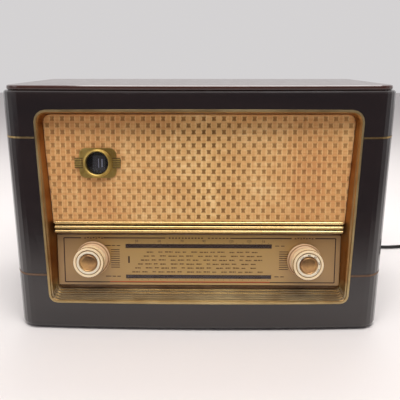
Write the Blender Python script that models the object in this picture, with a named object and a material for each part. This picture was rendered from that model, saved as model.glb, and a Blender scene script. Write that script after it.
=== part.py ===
"""A 1950s table radio: lacquered case, brass bezel, cloth grille, glass dial, concentric knobs and its works.

Metres, +Z up, the front faces -Y.  The front leans back, so most pieces are placed in the front's own frame:
x across, s up the slope from the case's lower front edge, n into the case, square to the slope.
"""

import math

import bmesh
import bpy
from mathutils import Vector

for old in list(bpy.data.objects):
    bpy.data.objects.remove(old, do_unlink=True)

# ---------------------------------------------------------------- driving dimensions
bottom_width = 0.512
top_flare = 0.028
top_width = bottom_width + top_flare
case_height = 0.3206
case_depth = 0.280
lean = math.radians(11.4)
top_bow = 0.012
bottom_bow = 0.0065
post_radius = 0.027
edge_radius = 0.004
wall = 0.009
front_depth = 0.036
foot_height = 0.003
lid_thickness = 0.006
lid_inset = 0.0045
gap = 0.0003

face_setback = 0.0085
front_board = 0.018
dial_depth = 0.024
cloth_depth = 0.018
cloth_thickness = 0.0008
baffle_thickness = 0.005

stile_low = 0.0473
stile_high = 0.0493
top_rail = 0.0176
lip_bottom = 0.0375
lip_top = case_height - top_rail
lip_half_bottom = bottom_width / 2 - stile_low
lip_half_top = top_width / 2 - stile_high
lip_radius_top = 0.016
lip_radius_bottom = 0.012
lip_width = 0.0038
lip_proud = 0.0014
lip_grip = 0.003
bezel_wall = 0.0015
window_half = lip_half_bottom - 0.0072
window_half_top = lip_half_top - 0.0077
window_kink = 0.150
window_top = lip_top - 0.0055
sill_back = 0.0525
sill_steps = 5

inlay_width = 0.0025
inlay_thickness = 0.0009
inlay_proud = 0.0002
upper_inlay_height = 0.260
lower_inlay_height = 0.0745

bar_heights = (0.1492, 0.1430, 0.1370)
bar_width = 0.0038
bar_thickness = 0.0034
bar_half = window_half - 0.001

glass_bottom = 0.0578
glass_top = 0.1335
glass_thickness = 0.0025
pointer_gap = 0.003
plate_thickness = 0.0010

knob_inset = 0.0523
knob_offset = window_half - knob_inset
left_knob_height = 0.0980
right_knob_height = 0.0956
knob_face = -0.008
knob_radius = 0.0200
knob_skirt_radius = knob_radius + 0.0018
ring_radius = knob_radius + 0.0040
ring_thickness = 0.0095
cap_radius = 0.0120
shaft_radius = 0.003
sleeve_radius = 0.005
running_gap = 0.0005

drum_x = 0.040
drum_height = 0.100
drum_radius = 0.058
drum_thickness = 0.006
drum_depth = 0.0362

eye_x = -0.1385
eye_height = 0.2323
eye_window_radius = 0.0155
eye_ring_radius = eye_window_radius + 0.004
eye_tube_radius = 0.011

speaker_x = 0.025
speaker_height = 0.229
speaker_radius = 0.066
speaker_depth = 0.058

side_room = 0.051
chassis_half = bottom_width / 2 - side_room
chassis_front = 0.066
chassis_back = 0.245
chassis_top = 0.056
chassis_sheet = 0.0015
bracket_depth = 0.0610

back_thickness = 0.003
back_recess = 0.005
cord_diameter = 0.006
plug_length = 0.048

# ---------------------------------------------------------------- values that follow
tan_lean = math.tan(lean)
cos_lean = math.cos(lean)
sin_lean = math.sin(lean)
edge_bow = bottom_bow + (top_bow - bottom_bow) * edge_radius / case_height
body_front = edge_radius * tan_lean - edge_bow
y_shift = -(body_front + case_depth) / 2
front_out = Vector((0, -cos_lean, sin_lean))
front_up = Vector((0, sin_lean, cos_lean))


def place(x, y, z):
    """A point of the case, measured from its lower front edge, in the part's own frame."""
    return Vector((x, y + y_shift, z + foot_height))


def face(x, s, n):
    """A point of the leaning front's frame: across, up the slope, and into the case."""
    return place(x, -face_setback + s * sin_lean + n * cos_lean, s * cos_lean - n * sin_lean)


def half_width(z):
    """Half the case's width at a height."""
    return (bottom_width + (top_width - bottom_width) * z / case_height) / 2


def bow(z):
    """How far the middle of the front stands out at a height."""
    return bottom_bow + (top_bow - bottom_bow) * z / case_height


def front_y(x, z, inset=0.0):
    """The front surface: leaning, bowed, with its posts rounded in plan."""
    half = half_width(z) - inset
    radius = max(post_radius - inset, 0.001)
    y = z * tan_lean - bow(z) * (1 - (x / half) ** 2) + inset
    past = abs(x) - (half - radius)
    if past > 0:
        y += radius - math.sqrt(max(radius * radius - past * past, 0.0))
    return y


def surface_depth(x, s):
    """How deep the front surface lies behind the reference plane of the front's frame."""
    z = s * cos_lean
    return (front_y(x, z) - (z * tan_lean - face_setback)) * cos_lean


# ---------------------------------------------------------------- materials
def finish(name, colour, roughness, metallic=0.0):
    material = bpy.data.materials.new(name)
    material.use_nodes = True
    shader = material.node_tree.nodes["Principled BSDF"]
    shader.inputs["Base Color"].default_value = (*colour, 1)
    shader.inputs["Roughness"].default_value = roughness
    shader.inputs["Metallic"].default_value = metallic
    material.diffuse_color = (*colour, 1)
    return material


lacquer = ("lacquer", (0.030, 0.020, 0.018), 0.15)
brass = ("brass", (0.55, 0.42, 0.20), 0.35, 1.0)
bright_brass = ("bright_brass", (0.90, 0.75, 0.42), 0.2, 1.0)
cloth = ("cloth", (0.62, 0.38, 0.17), 0.9)
board = ("board", (0.35, 0.22, 0.12), 0.8)
glass = ("glass", (0.40, 0.30, 0.15), 0.1)
ivory = ("ivory", (0.85, 0.74, 0.52), 0.35)
steel = ("steel", (0.55, 0.55, 0.54), 0.35, 1.0)
aluminium = ("aluminium", (0.75, 0.75, 0.76), 0.35, 1.0)
paper = ("paper", (0.08, 0.07, 0.06), 0.9)
clear_glass = ("clear_glass", (0.55, 0.60, 0.60), 0.05)
bakelite = ("bakelite", (0.06, 0.035, 0.02), 0.3)
iron = ("iron", (0.18, 0.17, 0.16), 0.5, 1.0)
rubber = ("rubber", (0.03, 0.03, 0.03), 0.7)
pressboard = ("pressboard", (0.30, 0.19, 0.10), 0.85)
made = {}


def dress(obj, look):
    if look[0] not in made:
        made[look[0]] = finish(*look)
    obj.data.materials.clear()
    obj.data.materials.append(made[look[0]])
    return obj


# ---------------------------------------------------------------- modelling helpers
def from_bmesh(name, bm, look, smooth=35):
    bmesh.ops.recalc_face_normals(bm, faces=bm.faces)
    mesh = bpy.data.meshes.new(name)
    bm.to_mesh(mesh)
    bm.free()
    obj = bpy.data.objects.new(name, mesh)
    bpy.context.scene.collection.objects.link(obj)
    mesh.shade_smooth()
    mesh.set_sharp_from_angle(angle=math.radians(smooth))
    return dress(obj, look)


def loft(name, loops, look, ring=False):
    """Skins loops of equal length; a ring joins the last loop to the first, or else both ends are capped."""
    bm = bmesh.new()
    rows = [[bm.verts.new(point) for point in loop] for loop in loops]
    count = len(rows[0])
    pairs = list(zip(rows, rows[1:]))
    if ring:
        pairs.append((rows[-1], rows[0]))
    for low, high in pairs:
        for i in range(count):
            j = (i + 1) % count
            bm.faces.new((low[i], low[j], high[j], high[i]))
    if not ring:
        bm.faces.new(list(reversed(rows[0])))
        bm.faces.new(rows[-1])
    return from_bmesh(name, bm, look)


def block(name, low, high, look, frame=place):
    """A box between two corners, in the case's frame or the front's."""
    (x0, a0, b0), (x1, a1, b1) = low, high
    loops = [[frame(x0, a, b), frame(x1, a, b), frame(x1, a, c), frame(x0, a, c)]
             for a, b, c in ((a0, b0, b1), (a1, b0, b1))]
    return loft(name, loops, look)


def turned(name, profile, centre, axis, look, sides=24):
    """Turns a profile of (radius, distance along the axis); it closes on the axis or as a ring."""
    axis = Vector(axis).normalized()
    side = axis.orthogonal().normalized()
    third = axis.cross(side)
    bm = bmesh.new()
    rows = []
    for radius, along in profile:
        base = Vector(centre) + axis * along
        if radius <= 0:
            rows.append([bm.verts.new(base)])
            continue
        rows.append([bm.verts.new(base + (side * math.cos(t) + third * math.sin(t)) * radius)
                     for t in (2 * math.pi * i / sides for i in range(sides))])
    pairs = list(zip(rows, rows[1:]))
    if profile[0][0] > 0:
        pairs.append((rows[-1], rows[0]))
    for low, high in pairs:
        for i in range(sides):
            j = (i + 1) % sides
            if len(low) == 1:
                bm.faces.new((low[0], high[j], high[i]))
            elif len(high) == 1:
                bm.faces.new((low[i], low[j], high[0]))
            else:
                bm.faces.new((low[i], low[j], high[j], high[i]))
    return from_bmesh(name, bm, look)


def rod(name, start, end, radius, look, sides=16):
    """A plain round bar from one point to another."""
    start, end = Vector(start), Vector(end)
    length = (end - start).length
    return turned(name, [(0, 0), (radius, 0), (radius, length), (0, length)], start, end - start, look,
                  sides)


def combine(obj, other, operation):
    """Applies a Boolean of another object to this one and removes that other."""
    modifier = obj.modifiers.new(operation.lower(), "BOOLEAN")
    modifier.operation = operation
    modifier.solver = "EXACT"
    modifier.object = other
    bpy.context.view_layer.update()
    graph = bpy.context.evaluated_depsgraph_get()
    mesh = bpy.data.meshes.new_from_object(obj.evaluated_get(graph))
    obj.modifiers.remove(modifier)
    old = obj.data
    looks = list(old.materials)
    obj.data = mesh
    mesh.name = obj.name
    mesh.materials.clear()
    for look in looks:
        mesh.materials.append(look)
    mesh.shade_smooth()
    mesh.set_sharp_from_angle(angle=math.radians(35))
    bpy.data.meshes.remove(old)
    bpy.data.objects.remove(other, do_unlink=True)
    return obj


def cut(obj, *cutters):
    for cutter in cutters:
        combine(obj, cutter, "DIFFERENCE")
    return obj


def join(obj, *others):
    for other in others:
        combine(obj, other, "UNION")
    return obj


def arc(cx, cy, radius, start, end, steps):
    """Points on an arc, in degrees, both ends included."""
    return [(cx + radius * math.cos(t), cy + radius * math.sin(t))
            for t in (math.radians(start + (end - start) * i / steps) for i in range(steps + 1))]


# ---------------------------------------------------------------- case, front and lid
def edge_inset(z):
    """How far the outline draws in near the case's rounded upper and lower edges."""
    near = min(z, case_height - z)
    if near >= edge_radius:
        return 0.0
    return edge_radius - math.sqrt(max(edge_radius ** 2 - (edge_radius - near) ** 2, 0.0))


edge_levels = [edge_radius * (1 - math.cos(math.radians(a))) for a in (0, 30, 60, 90)]
levels = edge_levels + [case_height / 2] + [case_height - z for z in reversed(edge_levels)]


def split_y(z, n):
    """Where a plane square to the front's depth stands at a height."""
    return z * tan_lean - face_setback + n / cos_lean


def front_curve(z, inset, bow_steps=10, post_steps=6):
    """The front edge of a plan outline, from left to right."""
    half = half_width(z) - inset
    radius = post_radius - inset
    flat = half - radius
    left = [-flat - radius * math.sin(math.radians(90 * (1 - i / post_steps))) for i in range(post_steps)]
    middle = [-flat + 2 * flat * i / bow_steps for i in range(bow_steps + 1)]
    right = [-x for x in reversed(left)]
    return [(x, front_y(x, z, inset)) for x in left + middle + right]


def make_front_frame():
    """The bowed front board with its rounded posts, hollowed at the back and open for the bezel."""
    loops = []
    for z in levels:
        inset = edge_inset(z)
        curve = front_curve(z, inset)
        back = split_y(z, front_depth) - gap
        half = half_width(z) - inset
        loops.append([place(x, y, z) for x, y in curve] + [place(half, back, z), place(-half, back, z)])
    frame = loft("front_frame", loops, lacquer)
    side_gap = wall + 0.003
    low, high = wall / cos_lean, (case_height - wall) / cos_lean
    pocket = loft("pocket", [[face(-half_width(low) + side_gap, low, n),
                              face(half_width(low) - side_gap, low, n),
                              face(half_width(high) - side_gap, high - 0.004, n),
                              face(-half_width(high) + side_gap, high - 0.004, n)]
                             for n in (front_board, front_depth + 0.03)], lacquer)
    opening = loft("opening", [[face(x, s, n) for x, s in bezel_outline(lip_grip)]
                               for n in (-0.02, front_depth)], lacquer)
    return cut(frame, pocket, opening)


def case_outline(inset):
    """The case's cross-section across the radio, a tapering box with small rounded corners."""
    radius = max(edge_radius - inset, 0.0005)
    low, high = inset, case_height - inset
    points = []
    for x_sign, z, start in ((1, low, -90), (1, high, 0), (-1, high, 90), (-1, low, 180)):
        cz = low + radius if z == low else high - radius
        half = half_width(cz) - inset - radius
        points += arc(x_sign * half, cz, radius, start, start + 90, 3)
    return points


def make_case():
    outer, inner = case_outline(0.0), case_outline(wall)
    back = case_depth
    loops = [[place(x, split_y(z, front_depth), z) for x, z in outer],
             [place(x, back, z) for x, z in outer],
             [place(x, back, z) for x, z in inner],
             [place(x, split_y(z, front_depth), z) for x, z in inner]]
    return loft("cabinet_case", loops, lacquer, ring=True)


def make_lid():
    """The top board: it follows the front's bow and posts, with a rounded edge."""
    z_top = case_height
    loops = []
    radius = lid_thickness / 2 - 0.0004
    for height, extra in ((0, radius * 0.5), (radius * 0.3, radius * 0.12), (radius, 0),
                          (lid_thickness - radius, 0), (lid_thickness - radius * 0.3, radius * 0.25),
                          (lid_thickness, radius)):
        inset = lid_inset + extra
        curve = front_curve(z_top, inset)
        half = half_width(z_top) - inset
        back = case_depth - inset + lid_inset - 0.001
        corner = 0.006
        rear = arc(half - corner, back - corner, corner, 0, 90, 3)
        rear += arc(-half + corner, back - corner, corner, 90, 180, 3)
        loops.append([place(x, y, z_top + gap + height) for x, y in curve + rear])
    return loft("top_lid", loops, lacquer)


# ---------------------------------------------------------------- bezel and inlay
def shaped_outline(half_low, half_kink, half_high, low, high, radius_low, radius_high, steps=4, across=8):
    """A closed outline, wider at the top, with round corners and a kink in its sides, lower left first."""
    def half_at(s):
        if s <= window_kink:
            return half_low + (half_kink - half_low) * (s - low) / (window_kink - low)
        return half_kink + (half_high - half_kink) * (s - window_kink) / (high - window_kink)

    right = arc(half_at(low + radius_low) - radius_low, low + radius_low, radius_low, -90, 0, steps)
    right += [(half_at(window_kink), window_kink)]
    right += arc(half_at(high - radius_high) - radius_high, high - radius_high, radius_high, 0, 90, steps)
    start, end = right[0][0], right[-1][0]
    bottom = [(-start + 2 * start * i / across, low) for i in range(1, across)]
    top = [(end - 2 * end * i / across, high) for i in range(1, across)]
    left = [(-x, s) for x, s in reversed(right)]
    return bottom + right + top + left


def lip_half(s):
    """Half the lip's width at a height up the slope."""
    return lip_half_bottom + (lip_half_top - lip_half_bottom) * (s - lip_bottom) / (lip_top - lip_bottom)


def bezel_outline(inset):
    """The bezel's lip, drawn in by an inset."""
    kink = lip_half(window_kink)
    return shaped_outline(lip_half_bottom - inset, kink - inset, lip_half_top - inset, lip_bottom + inset,
                          lip_top - inset, max(lip_radius_bottom - inset, 0.003),
                          max(lip_radius_top - inset, 0.004))


def window_outline(share, low):
    """The bezel's inner wall: share is 0 at the lip and 1 at the dial's depth."""
    halves = (lip_half_bottom, lip_half(window_kink), lip_half_top)
    lip_low, lip_kink, lip_high = (half - lip_width for half in halves)
    return shaped_outline(lip_low + (window_half - lip_low) * share,
                          lip_kink + (window_half - lip_kink) * share,
                          lip_high + (window_half_top - lip_high) * share, low,
                          lip_top - lip_width - 0.0005 * share, lip_radius_bottom - lip_width,
                          lip_radius_top - lip_width)


def make_bezel():
    """The brass surround: a lip on the front board, plain side walls and a stepped sill under the dial."""
    def on_surface(outline, lift):
        return [face(x, s, surface_depth(x, s) + lift) for x, s in outline]

    loops = [on_surface(bezel_outline(lip_grip + gap), -gap * 2), on_surface(bezel_outline(0.0), -gap * 2),
             on_surface(bezel_outline(0.0004), -lip_proud), on_surface(bezel_outline(lip_width - 0.0006),
                                                                       -lip_proud)]
    start = 0.0075
    low = lip_bottom + lip_width
    rise = (sill_back - low) / sill_steps
    run = (dial_depth - start) / sill_steps
    loops.append([face(x, s, max(surface_depth(x, s), -0.001) + 0.0006) for x,
                  s in window_outline(0.0, low)])
    for step in range(sill_steps):
        n = start + run * step
        share = n / dial_depth
        height = low + rise * step
        loops.append([face(x, s, n) for x, s in window_outline(share, height)])
        loops.append([face(x, s, n + 0.0003) for x, s in window_outline(share, height + rise)])
    end = dial_depth + 0.0005
    loops.append([face(x, s, end) for x, s in window_outline(1.0, sill_back)])
    loops.append([face(x, s, end) for x, s in bezel_outline(lip_grip + gap + bezel_wall)])
    loops.append([face(x, s, front_board - 0.004) for x, s in bezel_outline(lip_grip + gap)])
    return loft("bezel_surround", loops, brass, ring=True)


def inlay_path(z, inset, reach):
    """Half a band round one side in plan: from the bezel, across the front, round the post, to the back.
    """
    half = half_width(z)
    radius = post_radius
    flat = half - radius
    points = [(reach + (flat - reach) * i / 3, 0) for i in range(4)]
    path = []
    for x, _ in points:
        slope = 2 * bow(z) * x / half ** 2
        path.append((x - inset * slope, front_y(x, z) + inset))
    for i in range(1, 8):
        angle = math.radians(90 * i / 7)
        y0 = front_y(flat, z) + radius
        lead = bow(z) * (1 - (flat / half) ** 2)
        x = flat + radius * math.sin(angle)
        drift = lead - bow(z) * (1 - (x / half) ** 2)
        path.append((flat + (radius - inset) * math.sin(angle),
                     y0 + drift - (radius - inset) * math.cos(angle)))
    path.append((half - inset, case_depth + 0.0))
    return path


def inlay_band(name, side, z, width, depth, proud, reach, look, past_back=0.0):
    loops = []
    for inset, dz in ((-proud, -width / 2), (-proud, width / 2), (depth, width / 2), (depth, -width / 2)):
        path = inlay_path(z + dz, inset, reach)
        path[-1] = (path[-1][0], path[-1][1] + past_back)
        loops.append([place(side * x, y, z + dz) for x, y in path])
    bm = bmesh.new()
    rows = [[bm.verts.new(loop[k]) for loop in loops] for k in range(len(loops[0]))]
    for low, high in zip(rows, rows[1:]):
        for i in range(4):
            bm.faces.new((low[i], low[(i + 1) % 4], high[(i + 1) % 4], high[i]))
    bm.faces.new(rows[0])
    bm.faces.new(list(reversed(rows[-1])))
    return from_bmesh(name, bm, look)


def make_inlays(frame, case):
    """Brass strips let into both sides of the front and case, above and below."""
    for label, z in (("upper", upper_inlay_height), ("lower", lower_inlay_height)):
        reach = lip_half(z)
        for hand, side in (("right", 1), ("left", -1)):
            for body in (frame, case):
                groove = inlay_band("groove", side, z, inlay_width + 2 * gap, inlay_thickness + gap, 0.004,
                                    reach - 0.002, lacquer, 0.01)
                cut(body, groove)
            inlay_band(f"inlay_{label}_{hand}", side, z, inlay_width, inlay_thickness, inlay_proud,
                       reach + 0.0010, bright_brass, -0.002)


# ---------------------------------------------------------------- grille and dial
def make_grille():
    low = bar_heights[2] - 0.0035
    margin, corner = 0.0008, 0.012

    def half_at(s):
        if s <= window_kink:
            return window_half
        return window_half + (window_half_top - window_half) * (s - window_kink) / (window_top - window_kink)

    def panel(name, near, far, bottom, look):
        edge = [(half_at(s) - margin, s) for s in (bottom, window_kink, window_top - corner)]
        edge += arc(half_at(window_top) - margin - corner, window_top - corner, corner * 0.9, 15, 90, 4)
        outline = edge + [(-x, s) for x, s in reversed(edge)]
        return loft(name, [[face(x, s, n) for x, s in outline] for n in (near, far)], look)

    panel("grille_cloth", cloth_depth, cloth_depth + cloth_thickness, bar_heights[0] - 0.001, cloth)
    near = cloth_depth + cloth_thickness + gap
    baffle = panel("speaker_baffle", near, near + baffle_thickness, low, board)
    hole = rod("hole", face(speaker_x, speaker_height, 0.0), face(speaker_x, speaker_height, 0.05),
               speaker_radius - 0.008, board, 40)
    eye_hole = rod("eye_hole", face(eye_x, eye_height, 0.0), face(eye_x, eye_height, 0.05),
                   eye_window_radius + gap, board, 32)
    cut(baffle, hole, eye_hole)
    cloth_hole = rod("cloth_hole", face(eye_x, eye_height, 0.0), face(eye_x, eye_height, 0.05),
                     eye_window_radius + gap, board, 32)
    cut(bpy.data.objects["grille_cloth"], cloth_hole)
    for name, height in zip(("top", "middle", "bottom"), bar_heights):
        radius = bar_width / 2
        back = cloth_depth - gap
        profile = [(-radius, back), (radius, back)]
        crown = radius * 0.9
        profile += [(radius * math.cos(t), back - (bar_thickness - crown) - crown * math.sin(t))
                    for t in (math.radians(30 * i) for i in range(7))]
        loops = [[face(x, height + s, n) for s, n in profile] for x in (-bar_half, bar_half)]
        loft(f"trim_bar_{name}", loops, bright_brass)


def make_dial():
    half = window_half - 0.0008
    near = dial_depth
    pane = block("dial_glass", (-half, glass_bottom, near),
                 (half, glass_top - 0.003, near + glass_thickness), glass, face)
    plate_near = near + glass_thickness + pointer_gap
    plate = block("dial_backplate", (-half + 0.002, glass_bottom + 0.002, plate_near),
                  (half - 0.002, glass_top - 0.006, plate_near + plate_thickness), brass, face)
    for side, height in ((-1, left_knob_height), (1, right_knob_height)):
        x = side * knob_offset
        for body in (pane, plate):
            cut(body, rod("hole", face(x, height, 0.0), face(x, height, 0.06), sleeve_radius + 0.002, brass,
                          20))
    rail_s, rail_n = glass_top + 0.0010, plate_near + 0.0025
    rod("pointer_rail", face(-0.130, rail_s, rail_n), face(0.130, rail_s, rail_n), 0.0015, steel, 12)
    travel = math.pi * drum_radius
    x = -travel / 2
    needle_near = near + glass_thickness + 0.0009
    needle = block("dial_pointer", (x - 0.0008, glass_bottom + 0.004, needle_near),
                   (x + 0.0008, rail_s - 0.002, needle_near + 0.0012), ivory, face)
    arm = block("arm", (x - 0.006, glass_top - 0.0045, needle_near + 0.0002),
                (x + 0.006, rail_s + 0.0035, rail_n + 0.0026),
                steel, face)
    join(needle, arm)
    bore = rod("bore", face(x - 0.02, rail_s, rail_n), face(x + 0.02, rail_s, rail_n), 0.0019, steel, 12)
    cut(needle, bore)


# ---------------------------------------------------------------- magic eye
def make_eye():
    near = cloth_depth - 0.0035
    back = cloth_depth - gap

    def lobed(half_x, half_s, radius):
        corners = []
        for sx, sy, start in ((1, -1, -90), (1, 1, 0), (-1, 1, 90), (-1, -1, 180)):
            corners += arc(sx * (half_x - radius), sy * (half_s - radius), radius, start, start + 90, 4)
        return corners

    def lobed_plate(name, half_x, half_s, radius, front, rear):
        outline = lobed(half_x, half_s, radius)
        loops = [[face(eye_x + x, eye_height + s, n) for x, s in outline] for n in (front, rear)]
        return loft(name, loops, brass)

    plate = lobed_plate("eye_escutcheon", 0.0255, 0.0205, 0.009, near + 0.0015, back)
    ears = lobed_plate("ears", 0.0315, 0.0065, 0.002, near + 0.0008, back - 0.0002)
    boss = turned("boss", [(0, 0.0), (eye_ring_radius, 0.0), (eye_ring_radius, 0.0048),
                           (eye_ring_radius - 0.0015, 0.0064), (0, 0.0064)],
                  face(eye_x, eye_height, back - 0.0001), front_out, brass, 40)
    join(plate, ears, boss)
    cut(plate, rod("window", face(eye_x, eye_height, -0.01), face(eye_x, eye_height, 0.03),
                   eye_window_radius, brass, 40))
    tube_n = cloth_depth + cloth_thickness + baffle_thickness + 3 * gap + eye_tube_radius
    tube_low = eye_height - 0.030
    turned("eye_tube", [(0, 0), (eye_tube_radius, 0), (eye_tube_radius, 0.050),
                        (eye_tube_radius * 0.8, 0.055), (eye_tube_radius * 0.3, 0.058), (0, 0.0585)],
           face(eye_x, tube_low, tube_n), front_up, clear_glass, 20)
    turned("eye_socket", [(0, 0), (0.0118, 0), (0.0118, 0.012), (0, 0.012)],
           face(eye_x, tube_low - 0.012 - gap, tube_n + 0.001), front_up, bakelite, 20)


# ---------------------------------------------------------------- knobs and controls
def make_controls():
    for side, height, names in ((-1, left_knob_height, ("volume", "tone")),
                                (1, right_knob_height, ("band", "tuning"))):
        inner, outer = names
        x = side * knob_offset
        ring_back = dial_depth - 0.0010
        ring_near = ring_back - ring_thickness
        skirt_back = ring_near - 0.0010

        def at(n, x=x, height=height):
            return face(x, height, n)

        bore, sleeve_bore = shaft_radius + gap, sleeve_radius + gap
        inner_bore = shaft_radius + running_gap
        length = skirt_back - knob_face
        turned(f"{inner}_knob",
               [(bore, 0.0), (knob_skirt_radius - 0.0025, 0.0), (knob_skirt_radius - 0.0015, 0.003),
                (knob_skirt_radius, length - 0.010), (knob_radius + 0.0008, length - 0.0020),
                (knob_radius - 0.0008, length), (cap_radius + 0.0006, length),
                (cap_radius + 0.0006, length - 0.004), (bore, length - 0.004)],
               at(skirt_back), front_out, ivory, 28)
        cap_back = knob_face + 0.004 - gap
        turned(f"{inner}_knob_cap",
               [(0, 0.0), (cap_radius, 0.0), (cap_radius, 0.0025), (cap_radius - 0.001, 0.003),
                (0, 0.0018)],
               at(cap_back), front_out, brass, 24)
        turned(f"{outer}_ring",
               [(sleeve_bore, 0.0), (ring_radius - 0.0035, 0.0), (ring_radius - 0.0005, 0.002),
                (ring_radius, 0.0045), (ring_radius - 0.0012, 0.0072),
                (ring_radius - 0.004, ring_thickness), (sleeve_bore, ring_thickness)],
               at(ring_back), front_out, ivory, 28)
        control_near = bracket_depth + chassis_sheet + gap
        sleeve_end = control_near + 0.006 if outer == "tone" else 0.056
        turned(f"{outer}_sleeve", [(inner_bore, 0.0), (sleeve_radius, 0.0),
                                   (sleeve_radius, sleeve_end - ring_near - 0.001),
                                   (inner_bore, sleeve_end - ring_near - 0.001)],
               at(sleeve_end), front_out, steel, 16)
        shaft_near = knob_face + 0.0060
        body_depth, body_radius = (0.020, 0.0140) if inner == "volume" else (0.030, 0.0170)
        shaft_end = control_near + body_depth - 0.001
        rod(f"{inner}_shaft", at(shaft_end), at(shaft_near), shaft_radius, steel, 16)
        name = "volume_control" if inner == "volume" else "band_switch"
        step = sleeve_radius + running_gap if outer == "tone" else inner_bore + 0.002
        turned(name, [(inner_bore, 0.0), (body_radius - 0.001, 0.0), (body_radius, 0.001),
                      (body_radius, body_depth), (step, body_depth), (step, body_depth - 0.008),
                      (inner_bore, body_depth - 0.008)],
               at(control_near + body_depth), front_out, steel if inner == "volume" else board, 24)


def make_tuning():
    """The string drum on the tuning capacitor's shaft, with meshing plates in an open frame."""
    centre_n = drum_depth + drum_thickness
    hub = 0.008
    rim = 0.010

    def at(n):
        return face(drum_x, drum_height, n)

    profile = [(shaft_radius + gap, 0.0), (hub, 0.0), (hub, 0.002), (drum_radius - rim, 0.002),
               (drum_radius - rim, 0.0), (drum_radius, 0.0), (drum_radius - 0.0015, 0.003),
               (drum_radius, drum_thickness), (drum_radius - rim, drum_thickness),
               (drum_radius - rim, 0.004), (hub, 0.004), (hub, drum_thickness),
               (shaft_radius + gap, drum_thickness)]
    drum = turned("dial_drum", profile, at(centre_n), front_out, ivory, 36)
    for i in range(3):
        angle = math.radians(120 * i + 30)
        cx, cs = drum_x + 0.028 * math.cos(angle), drum_height + 0.028 * math.sin(angle)
        hole = rod("hole", face(cx, cs, centre_n + 0.01), face(cx, cs, centre_n - 0.02), 0.014, ivory, 16)
        cut(drum, hole)
    first, last = 0.068, 0.108
    plates, pitch, thick = 6, 0.0055, 0.0012
    rotor = rod("capacitor_rotor", at(last + 0.004), at(drum_depth - 0.001), shaft_radius, aluminium, 16)
    half_disc = arc(0, 0, 0.017, 90, 270, 12)
    for i in range(plates):
        n = first + 0.006 + pitch * i
        loops = [[face(drum_x + x, drum_height + s, d) for x, s in half_disc] for d in (n, n + thick)]
        join(rotor, loft("vane", loops, aluminium))
    base = drum_height - 0.0205
    frame = block("tuning_capacitor", (drum_x - 0.026, base, first), (drum_x + 0.022, base + 0.002, last),
                  steel, face)
    end_inset = 0.0002
    for n in (first, last - 0.0024):
        end = block("end", (drum_x - 0.0255, base + 0.0005, n + end_inset),
                    (drum_x + 0.0215, drum_height + 0.021, n + 0.002 + end_inset), steel, face)
        cut(end, rod("hole", at(n + 0.02), at(n - 0.02), shaft_radius + running_gap, steel, 16))
        join(frame, end)
    spine = block("spine", (drum_x - 0.0225, drum_height - 0.016, first + 0.001),
                  (drum_x - 0.0195, drum_height + 0.016, last - 0.001), aluminium, face)
    join(frame, spine)
    for i in range(plates - 1):
        n = first + 0.006 + pitch * (i + 0.5)
        vane = block("vane", (drum_x - 0.021, drum_height - 0.0155, n),
                     (drum_x - 0.0048, drum_height + 0.0155, n + thick), aluminium, face)
        join(frame, vane)


# ---------------------------------------------------------------- chassis and what stands on it
def make_chassis():
    """A folded steel tray, open below, with an upright ear behind each pair of knobs."""
    floor = wall + gap
    tray = block("chassis", (-chassis_half, chassis_front, floor),
                 (chassis_half, chassis_back, chassis_top), steel)
    hollow = block("hollow", (-chassis_half + chassis_sheet, chassis_front + chassis_sheet, floor - 0.01),
                   (chassis_half - chassis_sheet, chassis_back - chassis_sheet,
                    chassis_top - chassis_sheet), steel)
    cut(tray, hollow)
    near, far = bracket_depth, bracket_depth + chassis_sheet
    for side, height in ((-1, left_knob_height), (1, right_knob_height)):
        x = side * knob_offset
        low = (chassis_top - 0.001 + near * sin_lean) / cos_lean
        ear = block("ear", (x - 0.020, low, near), (x + 0.020, height + 0.020, far), steel, face)
        foot = block("foot", (x - 0.021, chassis_front - 0.006, chassis_top - chassis_sheet * 0.7),
                     (x + 0.021, chassis_front + 0.012, chassis_top + chassis_sheet * 0.3), steel)
        hole = rod("hole", face(x, height, 0.03), face(x, height, 0.09), sleeve_radius + 0.0009, steel, 20)
        cut(ear, hole)
        join(tray, foot, ear)


def stand(name, x, y, height, radius, look, sides=16, dome=0.5):
    """A round can or valve standing on the chassis; dome is how much its top narrows."""
    base = place(x, y, chassis_top + gap)
    return turned(name, [(0, 0), (radius * 1.12, 0), (radius * 1.12, 0.009), (radius, 0.009),
                         (radius, height - radius * dome), (radius * 0.8, height - radius * dome * 0.4),
                         (radius * 0.25, height), (0, height)],
                  base, (0, 0, 1), look, sides)


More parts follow.
